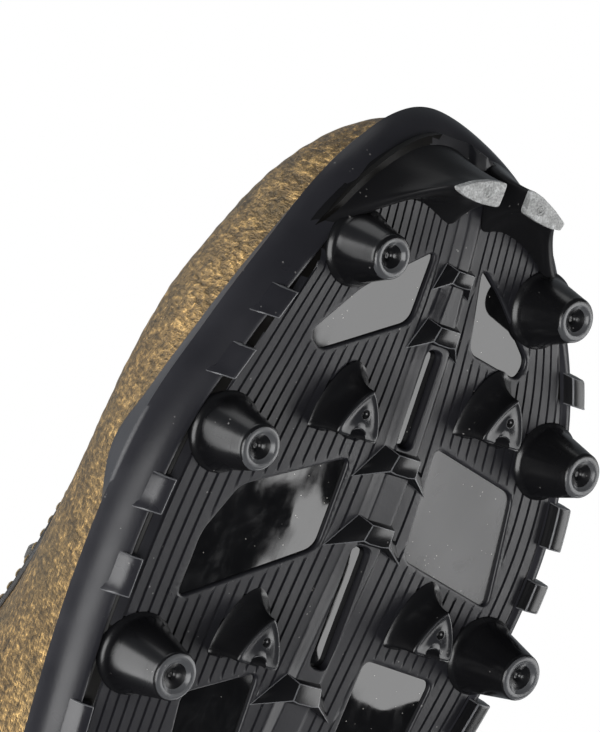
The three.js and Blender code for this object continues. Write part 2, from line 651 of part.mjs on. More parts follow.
// ---------------------------------------------------------------- assembly
addPiece('outsole_plate', outsolePlate(), BLACK_TPU);
for (const [name, ...stud] of STUDS) addPiece(name, tidied(studTip(...stud)), GLOSS_TPU);
addPiece('toe_stud_tip_lateral', toeTip(TOE_BLADES.lateral), GREY_TIP);
addPiece('toe_stud_tip_medial', toeTip(TOE_BLADES.medial), GREY_TIP);
addPiece('chassis_plate', soleLayer(7, FLOOR + GAP, FLOOR + 1.2), GLOSS_TPU);
addPiece('insole_board', soleLayer(5.5, FLOOR + 1.5, FLOOR + 2.8), BOARD);
addPiece('sockliner', soleLayer(6.4, FLOOR + 3.1, FLOOR + 7.1), BLACK_FABRIC);
addPiece('vamp', vamp(), GOLD_KNIT);
addPiece('toe_puff', toePuff(), STIFFENER);
addPiece('quarter_lateral', quarter(LATERAL), GOLD_KNIT);
addPiece('quarter_medial', quarter(MEDIAL), GOLD_KNIT);
addPiece('eyestay_lateral', eyestay(LATERAL), BLACK_FABRIC);
addPiece('eyestay_medial', eyestay(MEDIAL), BLACK_FABRIC);
addPiece('collar_pad_lateral', collarPad(LATERAL), BLACK_FABRIC);
addPiece('collar_pad_medial', collarPad(MEDIAL), BLACK_FABRIC);
addPiece('heel_counter', heelCounter(), STIFFENER);
addPiece('heel_tab', heelTab(), BLACK_FABRIC);
addPiece('tongue', tongue(), GOLD_KNIT);
addPiece('lace', lace(), LACE);

// Stand the shoe with the middle of its footprint on the origin.
const box = new THREE.Box3().setFromObject(shoe);
const middle = box.getCenter(new THREE.Vector3());
shoe.children.forEach((piece) => piece.position.set(-middle.x, -middle.y, 0));

export default shoe;
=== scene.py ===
"""Soccer cleat, right foot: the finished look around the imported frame.

Lengths in the shape functions are millimetres in the part's own drawing frame: +X to the toe,
+Y to the inner side, +Z up. make_object() moves them into the row frame, in metres.
"""
import math

import bmesh
import bpy
import numpy as np
from mathutils import Matrix, Vector


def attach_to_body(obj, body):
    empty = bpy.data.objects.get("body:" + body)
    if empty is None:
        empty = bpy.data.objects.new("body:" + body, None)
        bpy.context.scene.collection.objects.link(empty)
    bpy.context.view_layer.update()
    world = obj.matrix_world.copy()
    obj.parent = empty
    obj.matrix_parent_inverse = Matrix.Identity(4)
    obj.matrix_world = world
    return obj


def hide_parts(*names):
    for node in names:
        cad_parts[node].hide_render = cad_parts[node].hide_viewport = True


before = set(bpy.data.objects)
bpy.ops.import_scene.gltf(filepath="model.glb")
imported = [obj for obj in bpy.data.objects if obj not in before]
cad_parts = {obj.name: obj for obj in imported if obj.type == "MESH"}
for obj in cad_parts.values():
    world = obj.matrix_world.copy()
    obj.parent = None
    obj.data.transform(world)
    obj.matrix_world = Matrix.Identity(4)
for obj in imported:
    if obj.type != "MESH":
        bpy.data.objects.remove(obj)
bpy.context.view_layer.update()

MM = 0.001
SHIFT = np.array([-0.0013, 2.9713, 0.0])   # drawing frame to row frame, millimetres
LATERAL, MEDIAL = -1, 1
QUARTER = math.pi / 2

# ---------------------------------------------------------------- dimensions of the shoe, mm
BALL_HEIGHT = 12.3                # underside of the sole above the ground at the ball
FLOOR = 2.4                       # thickness of the sole plate
RAND_WALL = 1.5
GAP = 0.3
SEAT = RAND_WALL + GAP + 0.15     # where the upper stands inside the edge of the sole
FOOT = FLOOR + GAP                # where the upper starts above the sole's underside
TOE_AXIS, HEEL_AXIS = 95.0, -100.0     # ends of the ridge the upper's sections turn round
THROAT_FRONT, COLLAR_FRONT = 61.0, -12.0
TIP_CAP = 2.6                     # height of a stud's separately moulded tip
OUTLINE = [
    (140, -6), (137, -16), (128, -26.5), (112, -36), (93, -44.5), (74, -51), (45, -53),
    (10, -49.5), (-35, -40.5), (-75, -36), (-108, -34), (-130, -23.5), (-140, -1),
    (-130, 22), (-108, 32.5), (-75, 32.5), (-35, 29.5), (10, 36), (45, 44.5), (72, 47),
    (96, 42), (112, 34), (126, 23.5), (136, 9.5)]


# ---------------------------------------------------------------- numbers
norm = np.linalg.norm


def unit(v):
    return v / norm(v, axis=-1, keepdims=True)


def circle(count):
    """Angles once round in equal steps."""
    return np.arange(count) / count * 2 * math.pi


def smoothstep(lo, hi, v):
    t = np.clip((v - lo) / (hi - lo), 0, 1)
    return t * t * (3 - 2 * t)


def profile(points):
    """Smooth curve through (x, value) pairs, level beyond its ends."""
    px, pv = np.array(points, float).T
    last = len(px) - 1
    index = np.arange(last + 1)
    lo, hi = np.maximum(index - 1, 0), np.minimum(index + 1, last)
    slope = (pv[hi] - pv[lo]) / (px[hi] - px[lo])

    def at(x):
        x = np.clip(np.asarray(x, float), px[0], px[-1])
        i = np.clip(np.searchsorted(px, x, side="right") - 1, 0, last - 1)
        w = px[i + 1] - px[i]
        t = (x - px[i]) / w
        s = 1 - t
        return (pv[i] * s * s * (1 + 2 * t) + pv[i + 1] * t * t * (3 - 2 * t)
                + w * t * s * (slope[i] * s - slope[i + 1] * t))
    return at


def sole_z(x):
    """Height of the underside: flat at the ball, toe spring, raised waist, heel bevel."""
    x = np.asarray(x, float)
    spring = 0.00058 * np.maximum(0, x - 46.4) ** 2
    toe_roll = 0.02 * np.maximum(0, x - 126) ** 2
    arch = 5 * np.exp(-(((x + 22) / 28) ** 2))
    heel_roll = 0.012 * np.maximum(0, -120 - x) ** 2
    return BALL_HEIGHT + spring + toe_roll + arch + heel_roll


rand_top = profile([(-140, 29), (-120, 25.5), (-90, 22), (-60, 21.5), (-22, 24.5), (16, 19.5),
                    (44, 18), (56, 18.6), (68, 25.5), (80, 22.6), (110, 22.4), (126, 24),
                    (140, 28)])
ridge_z = profile([(-140, 128), (-80, 130), (-40, 125), (-10, 112), (10, 96.5), (30, 84.5),
                   (50, 77), (74, 69.5), (95, 63.5)])
fullness = profile([(-140, 3), (-60, 2.9), (-20, 2.2), (20, 1.52), (50, 1.48), (74, 1.65),
                    (95, 2.05)])
collar_z = profile([(-140, 100), (-125, 92), (-100, 82), (-70, 79), (-45, 84), (-20, 98),
                    (-8, 108), (0, 125)])
throat_half = profile([(-20, 14), (0, 13), (30, 10.5), (60, 8)])


def outline_ring(inset, count=720):
    """Points of the sole's outline, drawn in by inset, from the toe round the outer side."""
    pts = np.array(OUTLINE, float)
    n = len(pts)
    t = np.arange(count) / count * n
    k = np.floor(t).astype(int)
    w = (t - k)[:, None]
    p0, p1, p2, p3 = pts[(k - 1) % n], pts[k % n], pts[(k + 1) % n], pts[(k + 2) % n]
    step = lambda a, b: (((a - b) ** 2).sum(1) ** 0.25)[:, None]
    d0, d1, d2 = step(p0, p1), step(p1, p2), step(p2, p3)
    t1 = ((p1 - p0) / d0 - (p2 - p0) / (d0 + d1) + (p2 - p1) / d1) * d1
    t2 = ((p2 - p1) / d1 - (p3 - p1) / (d1 + d2) + (p3 - p2) / d2) * d1
    c2 = -3 * p1 + 3 * p2 - 2 * t1 - t2
    c3 = 2 * p1 - 2 * p2 + t1 + t2
    tangent = unit(t1 + 2 * c2 * w + 3 * c3 * w ** 2)
    return (p1 + t1 * w + c2 * w ** 2 + c3 * w ** 3
            + inset * np.stack([tangent[:, 1], -tangent[:, 0]], 1))


class Edge:
    """Outline at one inset, read as a y for each x on either side."""

    def __init__(self, inset):
        ring = outline_ring(inset)
        count = len(ring)
        front, back = int(ring[:, 0].argmax()), int(ring[:, 0].argmin())
        walk = lambda step: ring[[(front + step * i) % count
                                  for i in range((step * (back - front)) % count + 1)]]
        self.chain = {LATERAL: walk(1)[::-1], MEDIAL: walk(-1)[::-1]}
        self.min, self.max = ring[back, 0], ring[front, 0]

    def __call__(self, side, x):
        lateral, medial = (np.interp(x, *self.chain[s].T) for s in (LATERAL, MEDIAL))
        return np.where(np.asarray(side) < 0, lateral, medial)

    def inside(self, side, x, y):
        """Distance of a point in from the edge, measured straight across the shoe."""
        return side * (self(side, x) - y)

    def across(self, xs, share):
        """Grid of x and y from the outer edge (share 0) to the inner one (share 1)."""
        lat, med = self(LATERAL, xs)[:, None], self(MEDIAL, xs)[:, None]
        y = lat + (med - lat) * share
        return np.broadcast_to(xs[:, None], y.shape), y


rim, seat = Edge(0), Edge(SEAT)
ridge_y = lambda x: 0.5 * (rim(LATERAL, x) + rim(MEDIAL, x)) + 2
on_axis = lambda x: np.clip(x, HEEL_AXIS, TOE_AXIS)


def upper_point(x, side, angle, inset=0.0):
    """Point of the upper at outline station x, angle from the sole edge (0) to the ridge."""
    x, angle, inset = np.broadcast_arrays(*(np.asarray(v, float) for v in (x, angle, inset)))
    ax = on_axis(x)
    ay = ridge_y(ax)
    power = 2 / fullness(ax)
    dx, dy = x - ax, seat(side, x) - ay
    reach = np.hypot(dx, dy)
    out = (reach - inset) / reach * np.maximum(0, np.cos(angle)) ** power
    foot = sole_z(x) + FOOT
    rise = (ridge_z(ax) - inset - foot) * np.maximum(0, np.sin(angle)) ** power
    return np.stack([ax + dx * out, ay + dy * out, foot + rise], -1)


def angle_at_distance(x, side, distance, inset=0.0):
    half = np.abs(seat(side, x) - ridge_y(x)) - inset
    return np.arccos(np.minimum(1, distance / half) ** (fullness(x) / 2))


def angle_at_height(x, z):
    ax = on_axis(x)
    foot = sole_z(x) + FOOT
    return np.arcsin(np.clip((z - foot) / (ridge_z(ax) - foot), 0, 1) ** (fullness(ax) / 2))


def top_angle(x, side):
    """Where the upper ends: at the throat, drawn to a round end in front, or the collar."""
    t = np.clip((x - (THROAT_FRONT - 9)) / 9, 0, 1)
    opening = throat_half(x) * np.sqrt(np.maximum(0, 1 - t * t))
    throat = angle_at_distance(np.maximum(x, -60), side, opening)
    return np.minimum(throat, angle_at_height(x, collar_z(x)))


# ---------------------------------------------------------------- mesh tools
def add(name, data):
    """New object in the scene."""
    obj = bpy.data.objects.new(name, data)
    bpy.context.scene.collection.objects.link(obj)
    return obj


def outward(mesh, weld=0.0):
    """Turn the faces outwards, after merging points closer than weld metres."""
    bm = bmesh.new()
    bm.from_mesh(mesh)
    if weld:
        bmesh.ops.remove_doubles(bm, verts=bm.verts, dist=weld)
    bmesh.ops.recalc_face_normals(bm, faces=bm.faces)
    bm.to_mesh(mesh)
    bm.free()


def shade(mesh, sharp):
    mesh.polygons.foreach_set("use_smooth", [True] * len(mesh.polygons))
    mesh.set_sharp_from_angle(angle=math.radians(sharp))


def make_object(name, points, faces, material, sharp=38.0):
    """Mesh object from points in drawing millimetres."""
    mesh = bpy.data.meshes.new(name)
    points = (np.asarray(points, float).reshape(-1, 3) + SHIFT) * MM
    mesh.from_pydata(points.tolist(), [], faces)
    mesh.validate()
    if material is not None:
        mesh.materials.append(material)
    outward(mesh)
    shade(mesh, sharp)
    return add(name, mesh)


def grid_faces(rows, cols, start=0, close_cols=False, close_rows=False):
    faces = []
    for i in range(rows if close_rows else rows - 1):
        a, b = start + i * cols, start + ((i + 1) % rows) * cols
        for j in range(cols if close_cols else cols - 1):
            k = (j + 1) % cols
            faces.append((a + j, a + k, b + k, b + j))
    return faces


def slab_object(name, lower, upper, material, sharp=38.0):
    """Closed solid between two grids of points of the same size."""
    rows, cols = lower.shape[:2]
    n = rows * cols
    faces = grid_faces(rows, cols) + [f[::-1] for f in grid_faces(rows, cols, n)]
    ids = np.arange(n).reshape(rows, cols)
    border = [*ids[0, :-1], *ids[:-1, -1], *ids[-1, :0:-1], *ids[:0:-1, 0]]
    border = [int(i) for i in border]
    for a, b in zip(border, border[1:] + border[:1]):
        faces.append((b, a, a + n, b + n))
    points = np.concatenate([lower.reshape(-1, 3), upper.reshape(-1, 3)])
    return make_object(name, points, faces, material, sharp)


def loft_object(name, rings, material, sharp=38.0, closed=False):
    """Solid through rings of equal point counts; capped, or closed on itself."""
    rings = np.asarray(rings, float)
    rows, cols = rings.shape[:2]
    faces = grid_faces(rows, cols, 0, True, closed)
    if not closed:
        faces += [tuple(range(cols))[::-1], tuple(range((rows - 1) * cols, rows * cols))]
    return make_object(name, rings, faces, material, sharp)


def lathe(name, points, centre, axis, material, sides=36, sharp=50, start=None):
    """Solid of revolution: (radius, height) points about an axis, from a start direction."""
    u = unit(np.cross(axis, [0.3, 0.9, 0.2])) if start is None else start
    v = np.cross(axis, u)
    a = circle(sides)[:, None]
    rings = [centre + axis * h + r * (np.cos(a) * u + np.sin(a) * v) for r, h in points]
    return loft_object(name, rings, material, sharp)


def attach(obj, kind, **settings):
    """Modifier with its settings."""
    modifier = obj.modifiers.new(kind.lower(), kind)
    for key, value in settings.items():
        setattr(modifier, key, value)
    return modifier


def apply_modifiers(obj):
    graph = bpy.context.evaluated_depsgraph_get()
    mesh = bpy.data.meshes.new_from_object(obj.evaluated_get(graph))
    obj.modifiers.clear()
    obj.data = mesh


def bevel(obj, width, angle, edge_material=None):
    """Round the edges; the rounding has its own material if one is given."""
    if edge_material is not None:
        obj.data.materials.append(edge_material)
    attach(obj, "BEVEL", width=width * MM, segments=3, limit_method="ANGLE",
           angle_limit=math.radians(angle), harden_normals=False,
           material=-1 if edge_material is None else 1)
    apply_modifiers(obj)
    shade(obj.data, 40)
    return obj


def cut(obj, cutters):
    for cutter in cutters:
        attach(obj, "BOOLEAN", operation="DIFFERENCE", solver="MANIFOLD", object=cutter)
    kept = [m for m in obj.data.materials if m is not None]
    apply_modifiers(obj)
    for cutter in cutters:
        bpy.data.objects.remove(cutter)
    slots = [min(face.material_index, len(kept) - 1) for face in obj.data.polygons]
    obj.data.materials.clear()
    for material in kept:
        obj.data.materials.append(material)
    obj.data.polygons.foreach_set("material_index", slots)


def coordinates(obj):
    points = np.zeros(len(obj.data.vertices) * 3)
    obj.data.vertices.foreach_get("co", points)
    return points.reshape(-1, 3) / MM - SHIFT


def move_to(obj, points):
    obj.data.vertices.foreach_set("co", ((points + SHIFT) * MM).ravel())
    obj.data.update()


def paint(obj, material, chosen):
    """Second material on the faces whose centres meet a condition."""
    obj.data.materials.append(material)
    centres = np.array([face.center for face in obj.data.polygons]) / MM - SHIFT
    obj.data.polygons.foreach_set("material_index", chosen(*centres.T).astype(int).tolist())
    return obj


def at_level(xy, z):
    """Plan points raised to one level, or each to its own."""
    return np.column_stack([xy, np.broadcast_to(z, len(xy))])


def rounded(corners, radius, steps=8):
    """Plan polygon with rounded corners."""
    pts = np.array(corners, float)
    out = []
    for i, p in enumerate(pts):
        before, after = pts[i - 1] - p, pts[(i + 1) % len(pts)] - p
        lb, la = norm(before), norm(after)
        reach = min(radius, lb * 0.45, la * 0.45)
        a, b = p + before / lb * reach, p + after / la * reach
        out += [a * (1 - t) ** 2 + 2 * p * t * (1 - t) + b * t * t
                for t in np.linspace(0, 1, steps + 1)]
    return np.array(out)


def densify(poly, step):
    out = []
    for a, b in zip(poly, np.roll(poly, -1, 0)):
        n = max(1, int(math.ceil(norm(b - a) / step)))
        out += [a + (b - a) * k / n for k in range(n)]
    return np.array(out)


def offset(poly, distance):
    """Polygon grown outwards by distance."""
    ahead_x, ahead_y = np.roll(poly, -1, 0).T
    area = np.sum(poly[:, 0] * ahead_y - ahead_x * poly[:, 1])
    ahead = np.roll(poly, -1, 0) - poly
    ahead /= np.maximum(norm(ahead, axis=1), 1e-9)[:, None]
    along = ahead + np.roll(ahead, 1, 0)
    along /= np.maximum(norm(along, axis=1), 1e-9)[:, None]
    return poly + distance * math.copysign(1, area) * np.stack([along[:, 1], -along[:, 0]], 1)


def distance_to(poly, pts):
    """Distance of points to a closed polygon, negative inside."""
    best = np.full(len(pts), 1e9)
    inside = np.zeros(len(pts), bool)
    for a, b in zip(poly, np.roll(poly, -1, 0)):
        ab = b - a
        t = np.clip(((pts - a) @ ab) / max(ab @ ab, 1e-12), 0, 1)
        best = np.minimum(best, norm(pts - (a + t[:, None] * ab), axis=1))
        crosses = (a[1] > pts[:, 1]) != (b[1] > pts[:, 1])
        with np.errstate(divide="ignore", invalid="ignore"):
            at = (b[0] - a[0]) * (pts[:, 1] - a[1]) / (b[1] - a[1]) + a[0]
        inside ^= crosses & (pts[:, 0] < at)
    return np.where(inside, -best, best)


def relax(path, times, closed=False):
    """Smooth a path by averaging neighbours."""
    path = np.array(path, float)
    for _ in range(times):
        if closed:
            path = 0.5 * path + 0.25 * (np.roll(path, 1, 0) + np.roll(path, -1, 0))
        else:
            path[1:-1] = 0.5 * path[1:-1] + 0.25 * (path[:-2] + path[2:])
    return path


def walked(path):
    """Length of a path up to each of its points."""
    return np.r_[0, np.cumsum(norm(np.diff(path, axis=0), axis=1))]


def resample(path, step, closed=False):
    path = np.asarray(path, float)
    if closed:
        path = np.concatenate([path, path[:1]])
    length = walked(path)
    at = np.linspace(0, length[-1], max(3, int(length[-1] / step)) + 1)
    at = at[:-1] if closed else at
    return np.stack([np.interp(at, length, column) for column in path.T], 1)


def sweep(name, path, ups, section, material, closed=False):
    """Section (side, up) carried along a path; it may vary: (rings, points, 2)."""
    ahead = (np.roll(path, -1, 0) - np.roll(path, 1, 0)) if closed else np.gradient(path, axis=0)
    ahead = unit(ahead)
    across = unit(np.cross(ahead, ups))
    up = np.cross(across, ahead)
    if section.ndim == 2:
        section = np.broadcast_to(section, (len(path), *section.shape))
    rings = path[:, None] + across[:, None] * section[..., :1] + up[:, None] * section[..., 1:]
    return loft_object(name, rings, material, 50, closed)


def oval(width, height, count=14, power=1.0):
    c, s = np.cos(circle(count)), np.sin(circle(count))
    return np.column_stack([width / 2 * np.sign(c) * np.abs(c) ** power,
                            height / 2 * np.sign(s) * np.abs(s) ** power])


# ---------------------------------------------------------------- materials
class Nodes:
    """Small helper to wire the nodes of a material or a world."""

    def __init__(self, owner, output, coordinate):
        owner.use_nodes = True
        self.owner, self.tree = owner, owner.node_tree
        self.tree.nodes.clear()
        self.surface = self.node(output).inputs["Surface"]
        self.coord = self.node("TexCoord").outputs[coordinate]

    def put(self, socket, value):
        """Link an output into a socket, or set the socket to a constant."""
        if hasattr(value, "is_output"):
            self.tree.links.new(value, socket)
        else:
            socket.default_value = value

    def node(self, kind, *values, **settings):
        """New node: inputs and properties by name, and its first inputs in order."""
        node = self.tree.nodes.new("ShaderNode" + kind)
        for key, value in settings.items():
            if key in node.inputs:
                self.put(node.inputs[key], value)
            else:
                setattr(node, key, value)
        for socket, value in zip(node.inputs, values):
            self.put(socket, value)
        return node

    def mapped(self, scale, rotation=(0, 0, 0)):
        return self.node("Mapping", self.coord, Scale=scale, Rotation=rotation).outputs[0]

    def noise(self, scale, detail=3.0, rough=0.55, vector=None, distortion=0.0):
        return self.node("TexNoise", vector or self.coord, Scale=scale, Detail=detail,
                         Roughness=rough, Distortion=distortion).outputs["Fac"]

    def scalar(self, value, lo, hi, a=0.0, b=1.0):
        """The range a..b of a value mapped to lo..hi."""
        return self.node("MapRange", value, a, b, lo, hi).outputs["Result"]

    def math(self, operation, a, b):
        return self.node("Math", a, b, operation=operation).outputs[0]

    def times(self, a, b):
        return self.math("MULTIPLY", a, b)

    def blend(self, *parts):
        """Sum of (value, weight) pairs."""
        total = self.times(*parts[0])
        for part in parts[1:]:
            total = self.math("ADD", total, self.times(*part))
        return total

    def mix(self, factor, a, b):
        """Blend of two colours."""
        node = self.node("Mix", factor, data_type="RGBA")
        for socket, value in ((node.inputs[6], a), (node.inputs[7], b)):
            self.put(socket, (*value, 1) if isinstance(value, tuple) else value)
        return node.outputs[2]

    def ramp(self, value, stops):
        node = self.node("ValToRGB", value)
        elements = node.color_ramp.elements
        while len(elements) < len(stops):
            elements.new(0.5)
        for element, (at, colour) in zip(elements, stops):
            element.position = at
            element.color = (*colour, 1)
        return node.outputs["Color"]

    def bump(self, height, strength, distance):
        return self.node("Bump", Strength=strength, Distance=distance * MM,
                         Height=height).outputs[0]

    def cells(self, scale, vector=None):
        return self.node("TexVoronoi", vector or self.coord, Scale=scale,
                         feature="F1").outputs["Distance"]

    def specks(self, scale, size, patch_scale, patch):
        """Small dots that lie in patches."""
        dots = self.math("LESS_THAN", self.cells(scale), size)
        patches = self.math("GREATER_THAN", self.noise(patch_scale, 1, 0.5), patch)
        return self.times(dots, patches)


class Surface(Nodes):
    """Material with a Principled shader, read in the object's own coordinates."""

    def __init__(self, name):
        super().__init__(bpy.data.materials.new(name), "OutputMaterial", "Object")
        self.shader = self.node("BsdfPrincipled")
        self.put(self.surface, self.shader.outputs[0])

    def finish(self, **values):
        for key, value in values.items():
            self.put(self.shader.inputs[key.replace("_", " ")], value)
        return self.owner


def moulded(name, colour, rough, grain, dust=0.0, mottle=0.3, gloss=0.5):
    """Moulded black TPU: faint grain, uneven polish, specks of dust."""
    n = Surface(name)
    broad = n.noise(70, 3, 0.5)
    tint = n.mix(broad, tuple(c * 0.7 for c in colour), tuple(c * 1.25 for c in colour))
    if dust:
        mask = n.times(n.specks(900.0, 0.16, 260, 0.66), dust)
        tint = n.mix(mask, tint, (0.32, 0.31, 0.3))
    uneven = n.scalar(broad, rough * (1 - mottle), rough * (1 + mottle), 0.3, 0.7)
    return n.finish(Base_Color=tint, Roughness=uneven, IOR=1.5, Specular_IOR_Level=gloss,
                    Normal=n.bump(n.noise(1400, 2, 0.6), grain, 0.05))


def toe_tip_material():
    """Light grey face plate, scuffed and speckled."""
    n = Surface("toe_tip_satin")
    scuff = n.noise(420, 5, 0.7, None, 0.8)
    both = n.blend((scuff, 0.6), (n.noise(2600, 2, 0.6), 0.4))
    tint = n.ramp(both, [(0.36, (0.16, 0.163, 0.162)), (0.5, (0.36, 0.365, 0.36)),
                         (0.64, (0.62, 0.63, 0.63))])
    return n.finish(Base_Color=tint, Roughness=n.scalar(scuff, 0.3, 0.5, 0.35, 0.65),
                    Normal=n.bump(both, 0.6, 0.15))


def film_material():
    """Polished black film: mirror gloss, hazy smudges, dust, one window worn matt."""
    n = Surface("chassis_polish")
    haze = n.noise(60, 4, 0.6, None, 1.2)
    smear = n.noise(110, 2, 0.5, n.mapped((1, 2.2, 1), (0, 0, 0.5)), 2.0)
    place = n.node("SeparateXYZ", n.coord).outputs
    worn_window_and_edge_highlight = n.times(n.scalar(place["Y"], 0, 1, 0.004, 0.016),
                   n.times(n.scalar(place["X"], 1, 0, 0.084, 0.092),
                           n.scalar(place["X"], 0, 1, 0.045, 0.055)))
    smudge = n.times(n.scalar(haze, 0.1, 1, 0.42, 0.66), n.scalar(smear, 0.3, 1, 0.35, 0.65))
    dull = n.math("MAXIMUM", n.times(smudge, 0.25), n.times(worn_window_and_edge_highlight, n.scalar(smudge, 0.75, 1)))
    ground = n.mix(dull, (0.0035, 0.0035, 0.004), (0.034, 0.034, 0.036))
    tint = n.mix(n.specks(800.0, 0.085, 330, 0.55), ground, (0.4, 0.39, 0.36))
    return n.finish(Base_Color=tint, Roughness=n.scalar(dull, 0.015, 0.34), IOR=1.6,
                    Normal=n.bump(n.noise(45, 2, 0.5), 0.12, 1.2))


def knit_material():
    """Gold-coated knit: a crinkled metallic skin over fine courses of yarn; its colour paints
    shade into the crinkle's hollows and glints onto its crests.
    """
    n = Surface("gold_knit")
    crinkle = n.noise(1250, 3, 0.6, n.mapped((1.0, 0.34, 0.34)), 0.25)
    folds = n.noise(250, 3, 0.6, n.mapped((1.0, 0.4, 0.4)), 0.5)
    courses = n.noise(2600, 2, 0.5, n.mapped((0.22, 1.0, 1.0)))
    relief = n.blend((crinkle, 0.55), (folds, 0.3), (courses, 0.15))
    # colour by relief height: painted shade in the hollows, painted glints of light on the crests
    gold_painted_shade_and_glints = n.ramp(relief, [(0.38, (0.08, 0.052, 0.022)), (0.47, (0.21, 0.134, 0.054)),
                           (0.55, (0.4, 0.254, 0.098)), (0.64, (0.95, 0.61, 0.23))])
    patches = n.scalar(n.noise(40, 3, 0.6), 0, 0.4, 0.4, 0.7)
    return n.finish(Base_Color=n.mix(patches, gold_painted_shade_and_glints, (0.15, 0.115, 0.06)),
                    Roughness=n.scalar(courses, 0.26, 0.42, 0.35, 0.65), Metallic=0.8,
                    Specular_IOR_Level=0.2, Normal=n.bump(relief, 1.0, 0.9))


def lining_material(name, light, dark, rough):
    """Brushed textile: fine loops, slight fuzz."""
    n = Surface(name)
    loops = n.scalar(n.cells(1500.0, n.mapped((1, 0.6, 0.8))), 1, 0, 0, 0.8)
    mixed = n.blend((loops, 0.6), (n.noise(700, 4, 0.65), 0.4))
    return n.finish(Base_Color=n.mix(mixed, dark, light), Normal=n.bump(mixed, 0.7, 0.25),
                    Roughness=rough, Sheen_Weight=0.35, Sheen_Roughness=0.4)


def braid_material(name, light, dark):
    """Braided or woven cord: two crossing sets of diagonal strands."""
    n = Surface(name)
    strands = [n.node("TexWave", vector, Scale=520.0, Distortion=0.6,
                      bands_direction="DIAGONAL").outputs["Fac"]
               for vector in (n.coord, n.mapped((1, -1, 1)))]
    woven = n.math("MAXIMUM", *strands)
    return n.finish(Base_Color=n.mix(woven, dark, light), Normal=n.bump(woven, 0.8, 0.2),
                    Roughness=0.75, Sheen_Weight=0.3)


def floor_material():
    """Pale studio floor, white far out, that is only there when seen from above."""
    n = Surface("floor")
    away = n.node("VectorMath", n.coord, operation="LENGTH").outputs["Value"]
    fade = n.scalar(away, 0, 1, 0.3, 1.0)
    tone = n.mix(n.noise(6, 3), (0.3, 0.3, 0.3), (0.32, 0.32, 0.32))
    n.finish(Base_Color=n.mix(fade, tone, (0, 0, 0)), Roughness=0.9,
             Emission_Color=(1, 1, 1, 1), Emission_Strength=n.scalar(fade, 0.66, 1.0),
             Specular_IOR_Level=0.0)
    both = n.node("MixShader", n.node("NewGeometry").outputs["Backfacing"],
                  n.shader.outputs[0], n.node("BsdfTransparent").outputs[0])
    n.put(n.surface, both.outputs[0])
    return n.owner


MATS = {key: moulded(*look) for key, look in {   # colour, roughness, grain, dust, mottle, gloss
    "plate": ("plate_satin", (0.015, 0.015, 0.0185), 0.38, 0.35, 0.5, 0.3, 0.45),
    "rand": ("rand_satin", (0.024, 0.024, 0.029), 0.35, 0.3, 0.4, 0.25, 0.36),
    "stud": ("stud_gloss", (0.008, 0.008, 0.009), 0.24, 0.06, 0.6),
    # darker, duller black for the channel by the rim: painted shade
    "shelf_painted_shade": ("shelf_painted_shade_black", (0.006, 0.0055, 0.005), 0.3, 0.2, 0.5, 0.4, 0.12),
    "rib": ("rib_gloss", (0.008, 0.008, 0.009), 0.18, 0.12, 0.3),
    "tab": ("tab_satin", (0.024, 0.024, 0.029), 0.27, 0.25, 0.3, 0.25, 0.5),
    "blade": ("toe_blade_satin", (0.011, 0.011, 0.012), 0.3, 0.2, 0.5, 0.3, 0.13),
    # lighter grey for the rounded edges of tabs and ribs: painted highlight lines
    "worn_window_and_edge_highlight": ("painted_edge_highlight", (0.15, 0.152, 0.16), 0.22, 0.2),
    # lighter grey on the studs' tip faces is a painted highlight; the eyelets use the same grey
    "ring": ("eyelet_grey_and_painted_tip_highlight", (0.085, 0.087, 0.092), 0.22, 0.25, 0.3),
    # a lighter black for the arrow studs' faces: painted sheen
    "arrow_face_sheen": ("arrow_face_painted_sheen", (0.022, 0.0225, 0.025), 0.22, 0.2, 0.3),
    "film": ("eyestay_film", (0.018, 0.018, 0.02), 0.42, 0.5),
    "sheet": ("stiffener", (0.6, 0.58, 0.54), 0.6, 0.3)}.items()}
MATS.update(
    tip=toe_tip_material(), chassis=film_material(), knit=knit_material(),
    tongue=lining_material("tongue_knit", (0.12, 0.085, 0.03), (0.05, 0.035, 0.014), 0.8),
    lining=lining_material("lining", (0.03, 0.03, 0.033), (0.012, 0.012, 0.014), 0.9),
    footbed=lining_material("footbed", (0.035, 0.035, 0.038), (0.014, 0.014, 0.016), 0.95),
    board=lining_material("board", (0.42, 0.37, 0.29), (0.32, 0.28, 0.21), 0.9),
    lace=braid_material("lace_braid", (0.05, 0.045, 0.036), (0.015, 0.014, 0.012)),
    webbing=braid_material("webbing", (0.03, 0.03, 0.032), (0.01, 0.01, 0.011)),
    thread=braid_material("thread", (0.22, 0.15, 0.055), (0.1, 0.07, 0.025)),
    floor=floor_material())


def settle(obj, slot, *nodes, body="shoe"):
    """Put a piece on its body and hide the imported parts it stands in for."""
    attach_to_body(obj, body)
    if nodes:
        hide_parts(*nodes)


